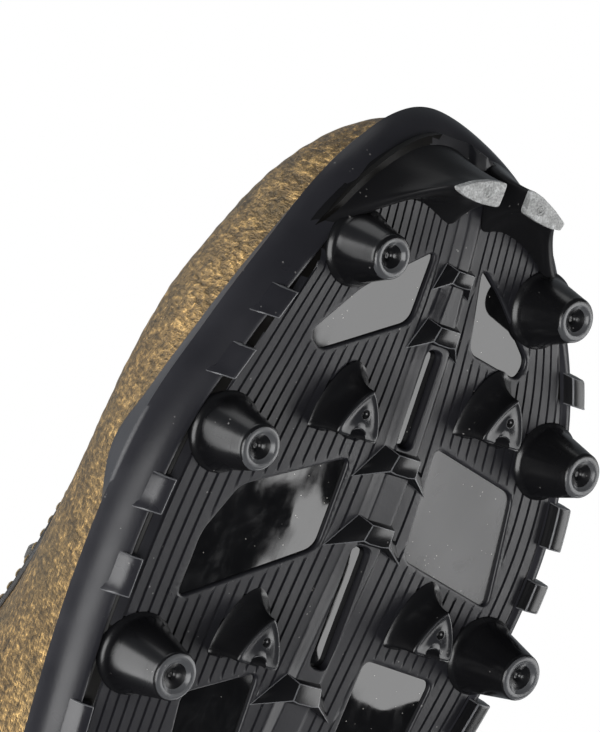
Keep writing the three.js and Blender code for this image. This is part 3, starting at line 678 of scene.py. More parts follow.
# ---------------------------------------------------------------- the sole
WINDOWS = [
    [(117, -4), (104, -4.6), (94.5, -22.5), (97, -25.5), (107, -17.5)],
    [(116.8, 7.6), (113, 13.4), (103.5, 24.5), (100, 23.6), (102, 10.8)],
    [(78.2, -8), (61.5, -8.2), (47, -33.8), (59, -33.6), (68.5, -29)],
    [(84.2, 10.5), (80, 31.5), (59, 35), (63.6, 12)],
    [(37.6, -10.6), (31, -25), (8, -21), (10, -9)],
    [(44.4, 12), (43.4, 29), (22, 26.5), (14, 11)],
    [(-82, -9), (-84, -16), (-106, -13), (-104, -7)],
    [(-82, 6), (-84, 13), (-106, 11), (-104, 5)]]
SLOTS = [(82.5, 100.5, 1.8, 1.8), (41, 64, 0.8, 2.2), (-34, -3, -2.4, 2), (-88, -46, -2, 2)]
STUDS = {                         # x, y, height (None: down to the ground), radius of the tip
    "forefoot_stud_tip_lateral_front": (113.3, -21.4, 9.7, 3.8),
    "forefoot_stud_tip_lateral_middle": (76.5, -36.4, 10.7, 4.0),
    "forefoot_stud_tip_lateral_rear": (36, -38, None, 4.25),
    "forefoot_stud_tip_medial_front": (113.2, 23.9, 9.7, 3.9),
    "forefoot_stud_tip_medial_middle": (87.6, 36.4, 10.7, 4.0),
    "forefoot_stud_tip_medial_rear": (50.4, 37.6, None, 4.25),
    "heel_stud_tip_lateral_front": (-76, -24.5, None, 4.25),
    "heel_stud_tip_lateral_rear": (-113, -19.5, None, 4.25),
    "heel_stud_tip_medial_front": (-76, 21.5, None, 4.25),
    "heel_stud_tip_medial_rear": (-113, 18, None, 4.25)}
STUD_FLARE = 2.75                 # how much wider a stud's root is than its tip
DELTAS = [(86, -13.4), (92, 19.2), (43.5, -17), (52.4, 20.6)]
DELTA_HEIGHT = 6.5
RIBS = [(114, 2, 6), (103.6, 2.2, 7), (80, 2.6, 9), (67, 2.2, 9.5), (36.6, -0.5, 9.5),
        (2, -2, 8), (-40, -3, 7.5), (-94, -1.5, 8)]
RIB_HEIGHT = 3.0
EDGE_BLOCKS = [
    (LATERAL, 97.4, 103.2), (LATERAL, 85.4, 91.8), (LATERAL, 60, 67), (LATERAL, 45, 52.5),
    (LATERAL, 16, 26), (LATERAL, -2, 6), (LATERAL, -58, -50), (LATERAL, -98, -90),
    (MEDIAL, 98.5, 104), (MEDIAL, 72.5, 81), (MEDIAL, 60.5, 66.5), (MEDIAL, 35, 42.5),
    (MEDIAL, 18, 25), (MEDIAL, 0, 7), (MEDIAL, -58, -50), (MEDIAL, -98, -90)]
BLOCK_SECTION = {                 # inset from the rim, level against the sole's underside
    LATERAL: [(2.2, 3.2), (2.6, 1.55), (3.6, 0.3), (4.7, -0.85), (5.7, -1.65), (6.8, -2.15),
              (7.7, -2.3), (8.3, 1.4), (5, 3.0)],
    MEDIAL: [(0.9, 2.4), (0.75, 0.6), (1.0, -1.6), (1.5, -2.3), (2.7, -2.55), (4.6, -2.4),
             (5.1, 0.6), (3.6, 2.2)]}
PANE_LEVEL = 0.25                 # polished floor of the slots, above the sole's underside
WINDOW_PANE = 0.72                # polished floor of the windows, above the sole's underside
SKIN = 1.55                       # visible thickness of the plate at windows and slots
spine_y = profile([(-140, -1), (-94, -1.5), (-40, -3), (2, -2), (36.6, -0.5), (52, 0.8),
                   (67, 2.2), (80, 2.6), (103.6, 2.2), (114, 2), (140, 0)])
spine_rise = profile([(-112, 0), (-104, 0.7), (-20, 0.7), (20, 0.9), (36, 1.3), (122, 1.3),
                      (130, 0.4)])
spine_half = profile([(-120, 2.6), (98, 2.6), (106, 1.9), (112, 1.35), (130, 1.2)])
GROOVE_PITCH, GROOVE_START, GROOVE_END, GROOVE_DEPTH = 2.35, 6.7, 52, 0.42
PLATE_INSET, CHASSIS_INSET = 3.2, 9.6
SHOULDER = 5.4                    # height of the rand's rounded lower edge
SHELF = {LATERAL: 8.9, MEDIAL: 6.0}           # plain channel between the rim and the grooves
CHANNEL_DEPTH = {LATERAL: 1.35, MEDIAL: 0.6}


def groove_columns():
    """Distances from the spine, and for each its share of groove depth."""
    columns = [(v, 0) for v in (0, 0.7, 1.1, 1.35, 1.6, 2.0, 2.5, 2.72, 2.95, 3.4, 3.8, 4.15,
                                4.4, 4.7)]
    at = GROOVE_START
    while at < GROOVE_END:
        columns += [(at - 0.31, 0), (at - 0.19, 1), (at + 0.19, 1), (at + 0.31, 0)]
        at += GROOVE_PITCH
    columns = np.array(columns)
    return np.concatenate([columns[:0:-1] * [-1, 1], columns])


def plate_slab():
    """Grooved floor of the sole with its raised spine, windows and slots."""
    edge = Edge(PLATE_INSET)
    xs = np.arange(edge.min + 0.4, edge.max - 0.4, 1.1)
    v, groove = groove_columns().T
    spine = np.clip((spine_half(xs)[:, None] + 1.5 - np.abs(v)) / 1.5, 0, 1)
    spine = spine - 0.06 * np.sin(2 * math.pi * spine)
    centre = spine_y(xs)[:, None]
    width = {s: np.abs(rim(s, xs) - spine_y(xs)) for s in SHELF}
    squeeze = {s: np.clip(w / w.max(), 0.74, 1)[:, None] for s, w in width.items()}
    scale = np.where(v < 0, squeeze[LATERAL], squeeze[MEDIAL])
    scale = np.where(np.abs(v) < GROOVE_START - 1, 1.0, scale)
    apart = 0.002 * np.arange(len(v))         # keeps the points clipped to the edge distinct
    y = np.clip(centre + v * scale, edge(LATERAL, xs)[:, None] + apart,
                edge(MEDIAL, xs)[:, None] - apart[::-1])
    x = np.broadcast_to(xs[:, None], y.shape)
    flat = np.stack([x.ravel(), y.ravel()], 1)
    mask = smoothstep(-136, -132, x) * (1 - smoothstep(126, 128, x))
    for window in WINDOWS:
        away = distance_to(rounded(window, 2.6, 3), flat).reshape(y.shape)
        mask = mask * smoothstep(1.0, 1.9, away)
    channel = 0
    for s, shelf in SHELF.items():
        inside = rim.inside(s, x, y)
        mask = mask * smoothstep(shelf, shelf + 1.2, np.abs(inside))
        channel = channel + CHANNEL_DEPTH[s] * np.clip((shelf - 0.4 - inside) / 1.7, 0, 1)
    channel *= 1 - smoothstep(112, 120, x)
    ridge = spine_rise(xs)[:, None] * spine
    lower = np.stack([x, y, sole_z(x) + GROOVE_DEPTH * mask * groove - ridge + channel], -1)
    upper = np.stack([x, y, sole_z(x) + SKIN], -1)
    plate = slab_object("outsole_floor", lower, upper, MATS["plate"], 30)
    cut(plate, [window_cutter(window) for window in WINDOWS]
        + [slot_cutter(*slot) for slot in SLOTS])
    shade(plate.data, 30)
    attach(plate, "WEIGHTED_NORMAL", keep_sharp=True, weight=60)
    apply_modifiers(plate)
    # the channel next to the rim is painted the darker black as painted shade
    return paint(plate, MATS["shelf_painted_shade"], lambda x, y, z: np.any(
        [rim.inside(s, x, y) < SHELF[s] - 0.3 for s in SHELF], 0))


def follow(poly, levels):
    """Rings that follow the underside: for each (height, spread) the outline grown a little."""
    grown = [(offset(poly, spread), height) for height, spread in levels]
    return [at_level(ring, sole_z(ring[:, 0]) + height) for ring, height in grown]


def window_cutter(corners):
    poly = densify(rounded(corners, 2.0), 1.2)
    return loft_object("window_cutter", follow(poly, (
        (-3, 0.5), (0.0, 0.5), (0.08, 0.26), (0.22, 0.1), (0.5, 0), (3, 0))), None)


def slot_outline(x0, x1, y, half):
    corners = [(x0, y - half), (x1, y - half), (x1, y + half), (x0, y + half)]
    return densify(rounded(corners, half, 10), 1.0)


def slot_cutter(x0, x1, y, half):
    rise = float(spine_rise(0.5 * (x0 + x1)))
    return loft_object("slot_cutter", follow(slot_outline(x0, x1, y, half), (
        (-4, 0.35), (-rise, 0.35), (0.15 - rise, 0.12), (0.4 - rise, 0),
        (PANE_LEVEL + 0.3, 0))), None)


def slot_pane(index, *slot):
    """Polished strip on the floor of a slot in the spine."""
    rings = follow(slot_outline(*slot), ((PANE_LEVEL + 0.6, -0.03), (PANE_LEVEL + 0.12, -0.03),
                                         (PANE_LEVEL + 0.03, -0.25), (PANE_LEVEL, -0.7)))
    return loft_object(f"slot_pane_{index}", rings, MATS["chassis"], 60)


def upper_over(foot_xy, z):
    """Where the upper's outer surface is at height z, above a point of its foot."""
    ax = on_axis(foot_xy[:, 0])
    axis = np.stack([ax, ridge_y(ax)], 1)
    power = 2 / fullness(ax)
    foot = sole_z(foot_xy[:, 0]) + FOOT
    share = np.clip((z - foot) / (ridge_z(ax) - foot), 0, 1)
    out = np.sqrt(1 - share ** (2 / power)) ** power
    return axis + (foot_xy - axis) * out[:, None]


def rand_sweep():
    """Upstanding edge of the sole: a lip under it, drawn thin where it lies on the upper."""
    outer, foot = outline_ring(0), outline_ring(SEAT)
    x, y = outer.T
    ax = on_axis(foot[:, 0])
    out = unit(outer - np.stack([ax, ridge_y(ax)], 1))
    z0, top = sole_z(x), rand_top(x)
    outer_side = 1 - smoothstep(-18, 18, y - ridge_y(np.clip(x, -138, 138)))
    lip = (0.35 + 0.45 * outer_side) * (1 - smoothstep(106, 122, x))
    span = 3.9 + 1.8 * outer_side - 0.6 * smoothstep(112, 132, x)
    rings = [at_level(outer - out * (span + more)[:, None], z0 + level) for more, level in (
        (1.9, 1.5), (1.5, 1.2 * outer_side), (0.75, -0.3 * lip), (0.4, -0.85 * lip))]
    for phi in np.linspace(0, QUARTER, 12):      # the rounded shoulder
        share = phi / QUARTER
        inset = span * (0.5 * (1 - math.sin(phi) ** 0.92) + 0.5 * (1 - share))
        level = 0.5 * (1 - math.cos(phi)) ** 1.15 + 0.5 * share
        rings.append(at_level(outer - out * inset[:, None], z0 - lip + SHOULDER * level))
    start = z0 - lip + SHOULDER
    full = ((outer - upper_over(foot, start)) * out).sum(1)
    for t in np.linspace(0.12, 1, 8):            # the wall, thinning upwards
        z = start + (top - 0.35 - start) * t
        thick = full * (1 - t) ** 1.3 + 0.62 * (1 - (1 - t) ** 1.3)
        rings.append(at_level(upper_over(foot, z) + out * thick[:, None], z))
    rings.append(at_level(upper_over(foot, top - 0.12) + out * 0.45, top - 0.1))
    rings.append(at_level(upper_over(foot, top) + out * 0.2, top))
    for t in (0.0, 0.5, 1.0):                    # the face on the upper
        z = top - 0.3 + (z0 + FLOOR - top + 0.3) * t
        rings.append(at_level(upper_over(foot, z) + out * 0.03, z))
    return loft_object("outsole_rand", np.swapaxes(rings, 0, 1), MATS["rand"], 50, closed=True)


def edge_block(index, side, x0, x1):
    """Tab that flows out of the rand and stands over the floor's edge."""
    xs = np.linspace(x0, x1, 9)
    rings = []
    for k, x in enumerate(xs):
        nudge = {0: 0.25, len(xs) - 1: -0.25}.get(k, 0)
        swell = 0.45 * math.exp(-(k / 1.1) ** 2) if side == LATERAL else 0.0
        ring = []
        for inset, z in BLOCK_SECTION[side]:
            out = swell * float(1 - smoothstep(4.5, 7.5, inset)) if z < 1.5 else 0.0
            ring.append((x + (nudge if z < -0.5 else 0),
                         rim(side, x) - side * (inset - 0.64 * out), sole_z(x) + z - 0.77 * out))
        rings.append(ring)
    material = MATS["tab" if side == LATERAL else "stud"]
    # the rounded edges of the tab get the lighter grey: painted highlight lines
    return bevel(loft_object(f"edge_block_{index:02d}", rings, material), 0.24, 40, MATS["worn_window_and_edge_highlight"])


def cross_rib(index, x, y, half):
    """Low roof across the spine with swept, pointed wings."""
    y = float(spine_y(x)) if abs(y - spine_y(x)) > 0.6 else y
    size = float(np.interp(x, [80, 103.6, 114], [1, 0.9, 0.76]))
    foot = size * np.array([(2.3, -3.9), (2.3, 3.9), (-4.8, half), (-3.0, half * 0.42),
                            (-3.0, -half * 0.42), (-4.8, -half)])
    face = size * np.array([(1.5, -2.6), (1.5, 2.6), (-1.7, 3.0), (-2.0, 1.5), (-2.0, -1.5),
                            (-1.7, -3.0)])
    tilt = 0.13 if 30 < x < 40 else -0.1
    level = float(sole_z(x)) - RIB_HEIGHT * (0.4 + 0.6 * size)
    root = sole_z(x + foot[:, 0])
    rings = [at_level(foot + (x, y), root + 0.8), at_level(foot + (x, y), root - 0.06),
             at_level(face + (x, y), level + tilt * face[:, 0])]
    rib = loft_object(f"cross_rib_{index:02d}", rings, MATS["rib"], 24)
    # the rounded edges of the rib get the lighter grey: painted highlight lines
    return bevel(rib, 0.13, 20, MATS["worn_window_and_edge_highlight"])


def pit(face, centre, level, steps):
    """Rings from a face's outline into a round pit, point for point."""
    dx, dy = (face - centre).T
    a = np.arctan2(dy, dx)
    round_it = np.stack([np.cos(a), np.sin(a)], 1)
    return [at_level(centre + radius * round_it, level + drop) for radius, drop in steps]


def delta_outline(front, side, rear, notch, power):
    """Arrow outline: round or pointed in front, two rear corners, a bite between them."""
    turn = np.linspace(0, QUARTER, 19)
    arm_x = rear + 1.0 + (front - rear - 1.0) * np.cos(turn) ** power
    arm_y = side * np.sin(turn) ** power
    corner = [(rear + 0.35, side * 0.99), (rear, side * 0.93), (rear, side * 0.72)]
    turn = np.linspace(QUARTER, 0, 10)
    bite = np.column_stack([rear + notch * np.cos(turn), side * 0.44 * np.sin(turn)])
    upper = np.concatenate([np.column_stack([arm_x, arm_y]), corner, bite])
    return np.concatenate([upper, upper[-2:0:-1] * [1, -1]])


def delta_stud(index, x, y):
    """Fin-like small stud: a round-nosed root rising to a notched arrow face with a dimple."""
    z0 = float(sole_z(x))
    place = np.array([x, y])
    rings = [at_level(place + delta_outline(8.8, 6.2, -4.8, 0.5, 1.15), z0 + 1.0)]
    for t in np.linspace(0, 1, 14):
        ease = 1 - (1 - t) ** 1.8
        shape = delta_outline(8.8 - 3.6 * ease, 6.2 - 1.6 * ease, -4.8 + 1.2 * ease,
                              0.4 + 1.3 * t, 1.15 + 0.4 * t)
        drop = (DELTA_HEIGHT - 0.3) * (0.25 * t + 0.75 * t ** 1.5)
        rings.append(at_level(place + shape, z0 - 0.02 - drop))
    face = place + delta_outline(5.2, 4.6, -3.6, 1.7, 1.55)
    level = z0 - DELTA_HEIGHT
    middle = place + (0.9, 0.0)
    for grow, drop in ((0.965, 0.12), (0.92, 0.03), (0.87, 0.0), (0.8, 0.1), (0.6, 0.12)):
        rings.append(at_level(middle + (face - middle) * grow, level + drop))
    rings += pit(face, middle, level, ((1.25, 0.1), (1.1, 0.0), (0.85, 0.0), (0.7, 0.45),
                                       (0.3, 0.75)))
    stud = loft_object(f"arrow_stud_{index:02d}", rings, MATS["stud"], 42)
    # the arrow face is painted the lighter black as painted sheen
    return paint(stud, MATS["arrow_face_sheen"], lambda x, y, z: z < level + 0.16)


def revolve(name, points, x, y, height, sharp=50):
    """Solid of revolution hung under the plate, square to it or level: (radius, depth)."""
    level = height > BALL_HEIGHT - 0.5
    tilt = 0.0 if level else math.atan(float(sole_z(x + 0.5) - sole_z(x - 0.5)))
    down = np.array([math.sin(tilt), 0.0, -math.cos(tilt)])
    ahead = np.array([math.cos(tilt), 0.0, math.sin(tilt)])
    return lathe(name, points, np.array([x, y, float(sole_z(x))]), down, MATS["stud"], 72,
                 sharp, ahead)


def stud_pieces(name, x, y, height, tip):
    """Straight cone with a fillet at its root, and the rounded cap that finishes it."""
    height = height or float(sole_z(x))
    cone = lambda depth: tip - 0.02 + STUD_FLARE * (1 - depth / height)
    top = height - TIP_CAP
    root = cone(0)
    points = [(root + 0.55, -1.4), (root + 0.55, -0.1), (root + 0.45, 0.2),
              (root + 0.2, 0.42), (root, 0.62), (cone(1.0) - 0.05, 1.0)]
    points += [(cone(depth), depth) for depth in np.linspace(1.6, top, 7)]
    points.append((cone(top) - 0.3, top))
    body = revolve(name.replace("_tip", "_body"), points, x, y, height)

    mouth, corner = tip * 0.7, 0.85
    points = [(cone(top) - 0.3, top + 0.02)]
    points += [(cone(depth), depth + shift) for depth, shift in (
        (top, 0.02), (top + 0.9, 0), (height - corner - 0.3, 0), (height - corner - 0.05, 0))]
    for a in np.radians(np.linspace(10, 90, 9)):
        points.append((cone(height - corner) - corner * (1 - math.cos(a)),
                       height - corner * (1 - math.sin(a))))
    points += [(mouth + 0.1, height), (mouth - 0.02, height - 0.04),
               (mouth - 0.12, height - 0.16)]
    for t in (0.3, 0.65, 1.0):                   # the countersink, then the centre pit
        points.append((mouth - 0.12 + (1.07 - mouth) * t, height - 0.16 - 1.0 * t ** 0.85))
    points += [(0.82, height - 1.3), (0.7, height - 1.75), (0.4, height - 1.85),
               (0.15, height - 1.8)]
    cap = revolve(name + "_cap", points, x, y, height, 60)
    low = coordinates(cap)
    low = low[low[:, 2] < low[:, 2].min() + 0.6].mean(0)
    face = float(sole_z(x)) - height + 0.55
    # the tip's face and countersink get the lighter grey: a painted highlight
    paint(cap, MATS["ring"], lambda x, y, z:
          (z < face) & (np.hypot(x - low[0], y - low[1]) < tip - 0.15))
    return body, cap


TOE_BLADES = {
    "lateral": dict(
        root=[(136.9, -1.4), (134.9, -14.6), (126.6, -25.0), (113.5, -33.4), (112.0, -30.4),
              (121.0, -20.8), (124.4, -11), (117.6, 0.2)],
        face=[(132.5, -3.8), (132.0, -7.4), (130.9, -10.6), (129.0, -14.0), (128.4, -13.6),
              (127.8, -11.2), (127.6, -8.0), (128.0, -3.8)], pit=1.6),
    "medial": dict(
        root=[(137.0, 1.0), (133.2, 13.2), (125.0, 23.0), (114.5, 30.6), (113.0, 28.2),
              (120.8, 20), (123.6, 9), (119.2, 4.0)],
        face=[(132.9, 2.2), (132.3, 5.2), (131.0, 8.6), (129.3, 12.0), (127.9, 11.6),
              (127.6, 9.2), (127.9, 6.0), (128.6, 2.2)], pit=-1.6)}
TOE_FACE_Z = 4.3
TOE_CAP = 1.3


def blade_ring(corners, smooth, per_edge=10):
    """Outline with as many points along each edge, corners rounded by averaging."""
    corners = np.array(corners, float)
    ring = np.concatenate([a + (b - a) * np.linspace(0, 1, per_edge, endpoint=False)[:, None]
                           for a, b in zip(corners, np.roll(corners, -1, 0))])
    return relax(ring, smooth, True)


def toe_blade(side):
    """Sweeping toe stud: a broad crescent out of the rand, drawn in to a small level face."""
    low = TOE_FACE_Z + TOE_CAP + 0.05
    blade = TOE_BLADES[side]
    root, face = blade_ring(blade["root"], 24), blade_ring(blade["face"], 3)
    base = sole_z(root[:, 0]) + 1.7
    rings = [at_level(root + (face - root) * (1 - (1 - t) ** 1.5), base + (low - base) * t ** 1.1)
             for t in np.linspace(0, 1, 16)]
    return loft_object(f"toe_blade_{side}", rings, MATS["blade"], 44)


def toe_tip(side):
    """Small satin face plate with a ringed pit."""
    face = blade_ring(TOE_BLADES[side]["face"], 3)
    centre = face.mean(0) + (0.4, TOE_BLADES[side]["pit"])
    rings = [at_level(centre + (face - centre) * grow, TOE_FACE_Z + z)
             for z, grow in ((TOE_CAP, 1.0), (0.14, 1.0), (0.03, 0.985), (0.0, 0.95))]
    rings += pit(face, centre, TOE_FACE_Z, ((1.0, 0.0), (0.92, 0.12), (0.72, 0.14),
                                            (0.66, 0.02), (0.5, 0.02), (0.4, 0.35)))
    return loft_object(f"toe_tip_{side}", rings, MATS["tip"], 40)


def chassis():
    """Polished inner plate: gently uneven, seen through windows and slots."""
    edge = Edge(CHASSIS_INSET)
    x, y = edge.across(np.arange(edge.min + 0.5, edge.max - 0.5, 1.4), np.linspace(0, 1, 64))
    wave = (0.045 * np.sin(x / 4.6 + 0.6) * np.sin(y / 5.0 + 1.1)
            + 0.03 * np.sin(x / 8.0 + y / 6.5 + 2.0))
    lower = np.stack([x, y, sole_z(x) + WINDOW_PANE + wave], -1)
    upper = np.stack([x, y, sole_z(x) + SKIN + 1.9], -1)
    return slab_object("chassis_pane", lower, upper, MATS["chassis"], 60)


def build_sole():
    settle(plate_slab(), "plate_black", "outsole_plate")
    parts = [rand_sweep()]
    parts += [edge_block(i, *block) for i, block in enumerate(EDGE_BLOCKS)]
    parts += [cross_rib(i, *rib) for i, rib in enumerate(RIBS)]
    parts += [delta_stud(i, *place) for i, place in enumerate(DELTAS)]
    for name, stud in STUDS.items():
        body, cap = stud_pieces(name, *stud)
        parts.append(body)
        settle(cap, "stud_gloss", name)
    for side in TOE_BLADES:
        parts.append(toe_blade(side))
        settle(toe_tip(side), "toe_tip_grey", f"toe_stud_tip_{side}")
    for part in parts:
        settle(part, "plate_black")
    for i, slot in enumerate(SLOTS):
        settle(slot_pane(i, *slot), "chassis_gloss")
    settle(chassis(), "chassis_gloss", "chassis_plate")


# ---------------------------------------------------------------- the upper
EYELET_ROWS = [50, 36.5, 23, 9.5, -4]
eyelet_distance = lambda x: throat_half(x) + 5.4
LACE_OVER, LACE_UNDER = -2.8, 3.8      # depth above the eyestays and under the knit
LACE_HALF_WIDTH, LACE_HALF_HEIGHT, LACE_STEP = 1.75, 0.85, 0.8
BRAID_DEPTH, BRAID_STRANDS, BRAID_TURN = 0.1, 6, 2.6
HOLE_IN_KNIT, HOLE_IN_FILM, EYELET_INNER, EYELET_OUTER = 2.35, 2.0, 1.75, 3.2     # radii
TONGUE_FRONT, TONGUE_TIP, TONGUE_SEWN = 67.5, -23.5, 60
TONGUE_TOP, TONGUE_BOTTOM, TONGUE_INSET = 7.5, 10.2, 7.2
PAD_HEIGHT, PAD_INSET, PAD_SEWN = 33.5, 2.35, 3.3      # collar padding
CLOTH_FRAMES, CLOTH_PRESSURE = 20, 5.0
FOOTBED_INSET, FOOTBED_UNDER, FOOTBED_TOP, FOOTBED_TURN_UP = 6.5, 3.2, 5.6, 1.5
tongue_half = profile([(-24, 15), (-10, 18), (20, 20), (68, 15)])


def heel_stations(count, inset=0.0):
    """Stations round the heel, closer together at its back."""
    return HEEL_AXIS + (seat.min + inset - HEEL_AXIS) * np.sin(np.linspace(QUARTER, 0, count))


def sides_of(lateral, medial):
    return np.array([LATERAL] * lateral + [MEDIAL] * medial)


def frames(x, side, angle, step=0.4):
    """Point and outward normal on the upper at stations and angles."""
    at = lambda u, v: upper_point(x + u, side, angle + v)
    out = np.cross(at(step, 0) - at(-step, 0), at(0, 0.01) - at(0, -0.01))
    out = unit(out * -np.broadcast_to(side, out.shape[:-1])[..., None])
    return at(0, 0), np.where(np.asarray(x < HEEL_AXIS - 30)[..., None], [-1.0, 0.0, 0.0], out)


def throat_frames(x, side, distance):
    """Point and outward normal on the upper, at distances from the ridge."""
    return frames(x, side, angle_at_distance(x, side, distance), 0.5)


def eyelet_cutters(side, radius):
    return [lathe("hole", [(radius, -6), (radius, 6)],
                  *throat_frames(row, side, eyelet_distance(row)), None) for row in EYELET_ROWS]


def knit_ripple(points):
    """Slight unevenness of the knit in millimetres: crosswise ribs and a soft quilt."""
    x, y, z = np.moveaxis(points, -1, 0)
    ribs = np.sin(x * 2.05 + 1.1 * np.sin(z * 0.35 + y * 0.21))
    ribs = ribs * (0.6 + 0.4 * np.sin(z * 0.9 + x * 0.3))
    lumps = np.sin(x * 0.71 + z * 0.4) * np.sin(z * 0.83 - y * 0.5 + 1.3)
    return 0.055 * ribs + 0.06 * lumps


def knit_upper():
    """The whole knit, from the sole's edge up to the throat and the collar."""
    toe = TOE_AXIS + (seat.max - TOE_AXIS) * np.sin(np.linspace(0, QUARTER, 80))
    one = np.concatenate([heel_stations(40), np.linspace(HEEL_AXIS, TOE_AXIS, 250)[1:], toe[1:]])
    xs = np.concatenate([one, one[-2::-1]])[:, None]
    sides = sides_of(len(one), len(one) - 1)[:, None]
    tops = np.where(xs > THROAT_FRONT, QUARTER, top_angle(xs, sides))
    share = np.linspace(0, 1, 73)
    hidden = 0.03 * smoothstep(118, 132, xs)     # starts behind the rim at the toe
    angles = tops * (hidden + (1 - hidden) * share)
    points = upper_point(xs, sides, angles)
    ease = np.clip(np.minimum(share * 12, (1 - share) * 12), 0, 1)
    inward = upper_point(xs, sides, angles, 1.0) - points
    points = points + inward * (knit_ripple(points) * ease + 0.1)[..., None]
    upper = make_object("knit_upper", points, grid_faces(*points.shape[:2]), MATS["knit"], 60)
    outward(upper.data, 0.00004)
    upper.data.materials.append(MATS["lining"])
    attach(upper, "SOLIDIFY", thickness=0.0018, offset=-1, use_even_offset=False,
           material_offset=1)
    apply_modifiers(upper)
    cut(upper, eyelet_cutters(LATERAL, HOLE_IN_KNIT) + eyelet_cutters(MEDIAL, HOLE_IN_KNIT))
    shade(upper.data, 60)
    settle(upper, "upper_knit", "vamp", "quarter_lateral", "quarter_medial")


STITCH = [(-0.5, 0.35, -0.15), (-0.36, 0.85, 0.02), (-0.12, 1, 0.12), (0.12, 1, 0.12),
          (0.36, 0.85, 0.02), (0.5, 0.35, -0.15)]     # share of length, of radius, lift


def stitches(name, lines, pitch, length, radius=0.26):
    """Rows of sewn stitches along lines of (path, normals)."""
    verts, faces = [], []
    sides = 6
    for path, normals in lines:
        both = resample(np.concatenate([path, normals], 1), pitch)
        for a, b in zip(both[:-1], both[1:]):
            mid, out = (a[:3] + b[:3]) / 2, unit(a[3:] + b[3:])
            ahead = unit(b[:3] - a[:3])
            across = np.cross(ahead, out)
            start = len(verts)
            for t, size, lift in STITCH:
                centre = mid + ahead * length * t + out * (lift + 0.05)
                verts += [centre + radius * size * (across * math.cos(q) * 1.15
                                                    + out * math.sin(q)) for q in circle(sides)]
            end = len(verts)
            faces += grid_faces(len(STITCH), sides, start, True)
            faces += [tuple(range(start, start + sides))[::-1], tuple(range(end - sides, end))]
    settle(make_object(name, verts, faces, MATS["thread"], 60), "lace_fabric")


def inflate(obj, held, voxel, cap):
    """Swell a closed pad by cloth simulation. held(points) marks the sewn-down points."""
    material = obj.data.materials[0]
    attach(obj, "REMESH", mode="VOXEL", voxel_size=voxel * MM)
    apply_modifiers(obj)
    start = coordinates(obj)
    group = obj.vertex_groups.new(name="sewn")
    group.add([int(i) for i in np.nonzero(held(start))[0]], 1.0, "REPLACE")
    cloth = attach(obj, "CLOTH")
    settings = cloth.settings
    settings.quality = 6
    settings.mass = 0.2
    settings.tension_stiffness = settings.compression_stiffness = 12
    settings.bending_stiffness = 0.4
    settings.use_pressure = True
    settings.uniform_pressure_force = CLOTH_PRESSURE
    settings.effector_weights.gravity = 0
    settings.vertex_group_mass = "sewn"
    cloth.point_cache.frame_start, cloth.point_cache.frame_end = 1, CLOTH_FRAMES
    for number in range(1, CLOTH_FRAMES + 1):
        bpy.context.scene.frame_set(number)
    apply_modifiers(obj)
    bpy.context.scene.frame_set(1)
    moved = coordinates(obj) - start
    far = norm(moved, axis=1)[:, None]
    move_to(obj, start + moved * np.minimum(1, cap / np.maximum(far, 1e-9)))
    attach(obj, "SMOOTH", factor=0.5, iterations=3)
    attach(obj, "SUBSURF", levels=1)
    apply_modifiers(obj)
    obj.vertex_groups.clear()
    obj.data.materials.clear()
    obj.data.materials.append(material)
    shade(obj.data, 80)


def collar_line():
    """The shoe's opening: heel round to the throat's front end, both sides, as one loop."""
    one = np.concatenate([heel_stations(24), np.linspace(HEEL_AXIS, THROAT_FRONT, 150)[1:]])
    xs = np.concatenate([one, one[-2:0:-1]])
    sides = sides_of(len(one), len(one) - 2)
    return xs, sides, top_angle(xs, sides)


def collar_binding():
    """Soft rolled edge round the opening."""
    points, outs = frames(*collar_line())
    both = relax(resample(np.concatenate([points - outs, outs], 1), 1.2, True), 6, True)
    settle(sweep("collar_binding", both[:, :3], both[:, 3:], oval(2.6, 3.0), MATS["lining"],
                 True), "lining_fabric")


def collar_padding():
    """Padded ankle lining in one piece round the heel, swollen by cloth simulation."""
    run = np.linspace(HEEL_AXIS, COLLAR_FRONT - 9, 44)
    one = np.concatenate([heel_stations(14, 0.3), run[1:]])
    xs = np.concatenate([one[::-1], one[1:]])[:, None]
    sides = sides_of(len(one), len(one) - 1)[:, None]
    t = np.linspace(0, 1, 15)
    low, high = angle_at_height(xs, collar_z(xs) - PAD_HEIGHT), top_angle(xs, sides) - 0.03
    angles = low + (high - low) * t
    puff = 1.5 + 3.2 * np.sin(math.pi * t) ** 0.8 + 0
    pad = slab_object("collar_padding", upper_point(xs, sides, angles, PAD_INSET),
                      upper_point(xs, sides, angles, PAD_INSET + puff), MATS["lining"], 60)

    def sewn(points):
        """The face against the upper, judged from how far in each point lies."""
        x, y, z = points.T
        side = np.where(y < ridge_y(x), LATERAL, MEDIAL)
        skin = upper_point(x, side, angle_at_height(x, z))[:, :2]
        axis = np.stack([on_axis(x), ridge_y(on_axis(x))], 1)
        return norm(skin - axis, axis=1) - norm(points[:, :2] - axis, axis=1) < PAD_SEWN
    inflate(pad, sewn, 2.3, 1.3)
    settle(pad, "lining_fabric", "collar_pad_lateral", "collar_pad_medial")


def tongue_grid(depth, shrink):
    """Points of the tongue at a depth under the upper, from its front end to its tip."""
    xs = np.linspace(TONGUE_FRONT, TONGUE_TIP + shrink, 48)[:, None]
    end = np.clip((xs - TONGUE_TIP) / 9, 0, 1)
    half = tongue_half(xs) - shrink
    half = half * (0.72 + 0.28 * np.sqrt(np.clip(1 - (1 - end) ** 2, 0, 1)))
    share = np.linspace(-1, 1, 33)
    side = np.where(share < 0, LATERAL, MEDIAL)
    angle = angle_at_distance(xs, side, np.abs(share) * half, TONGUE_INSET)
    return upper_point(xs, side, angle, depth)


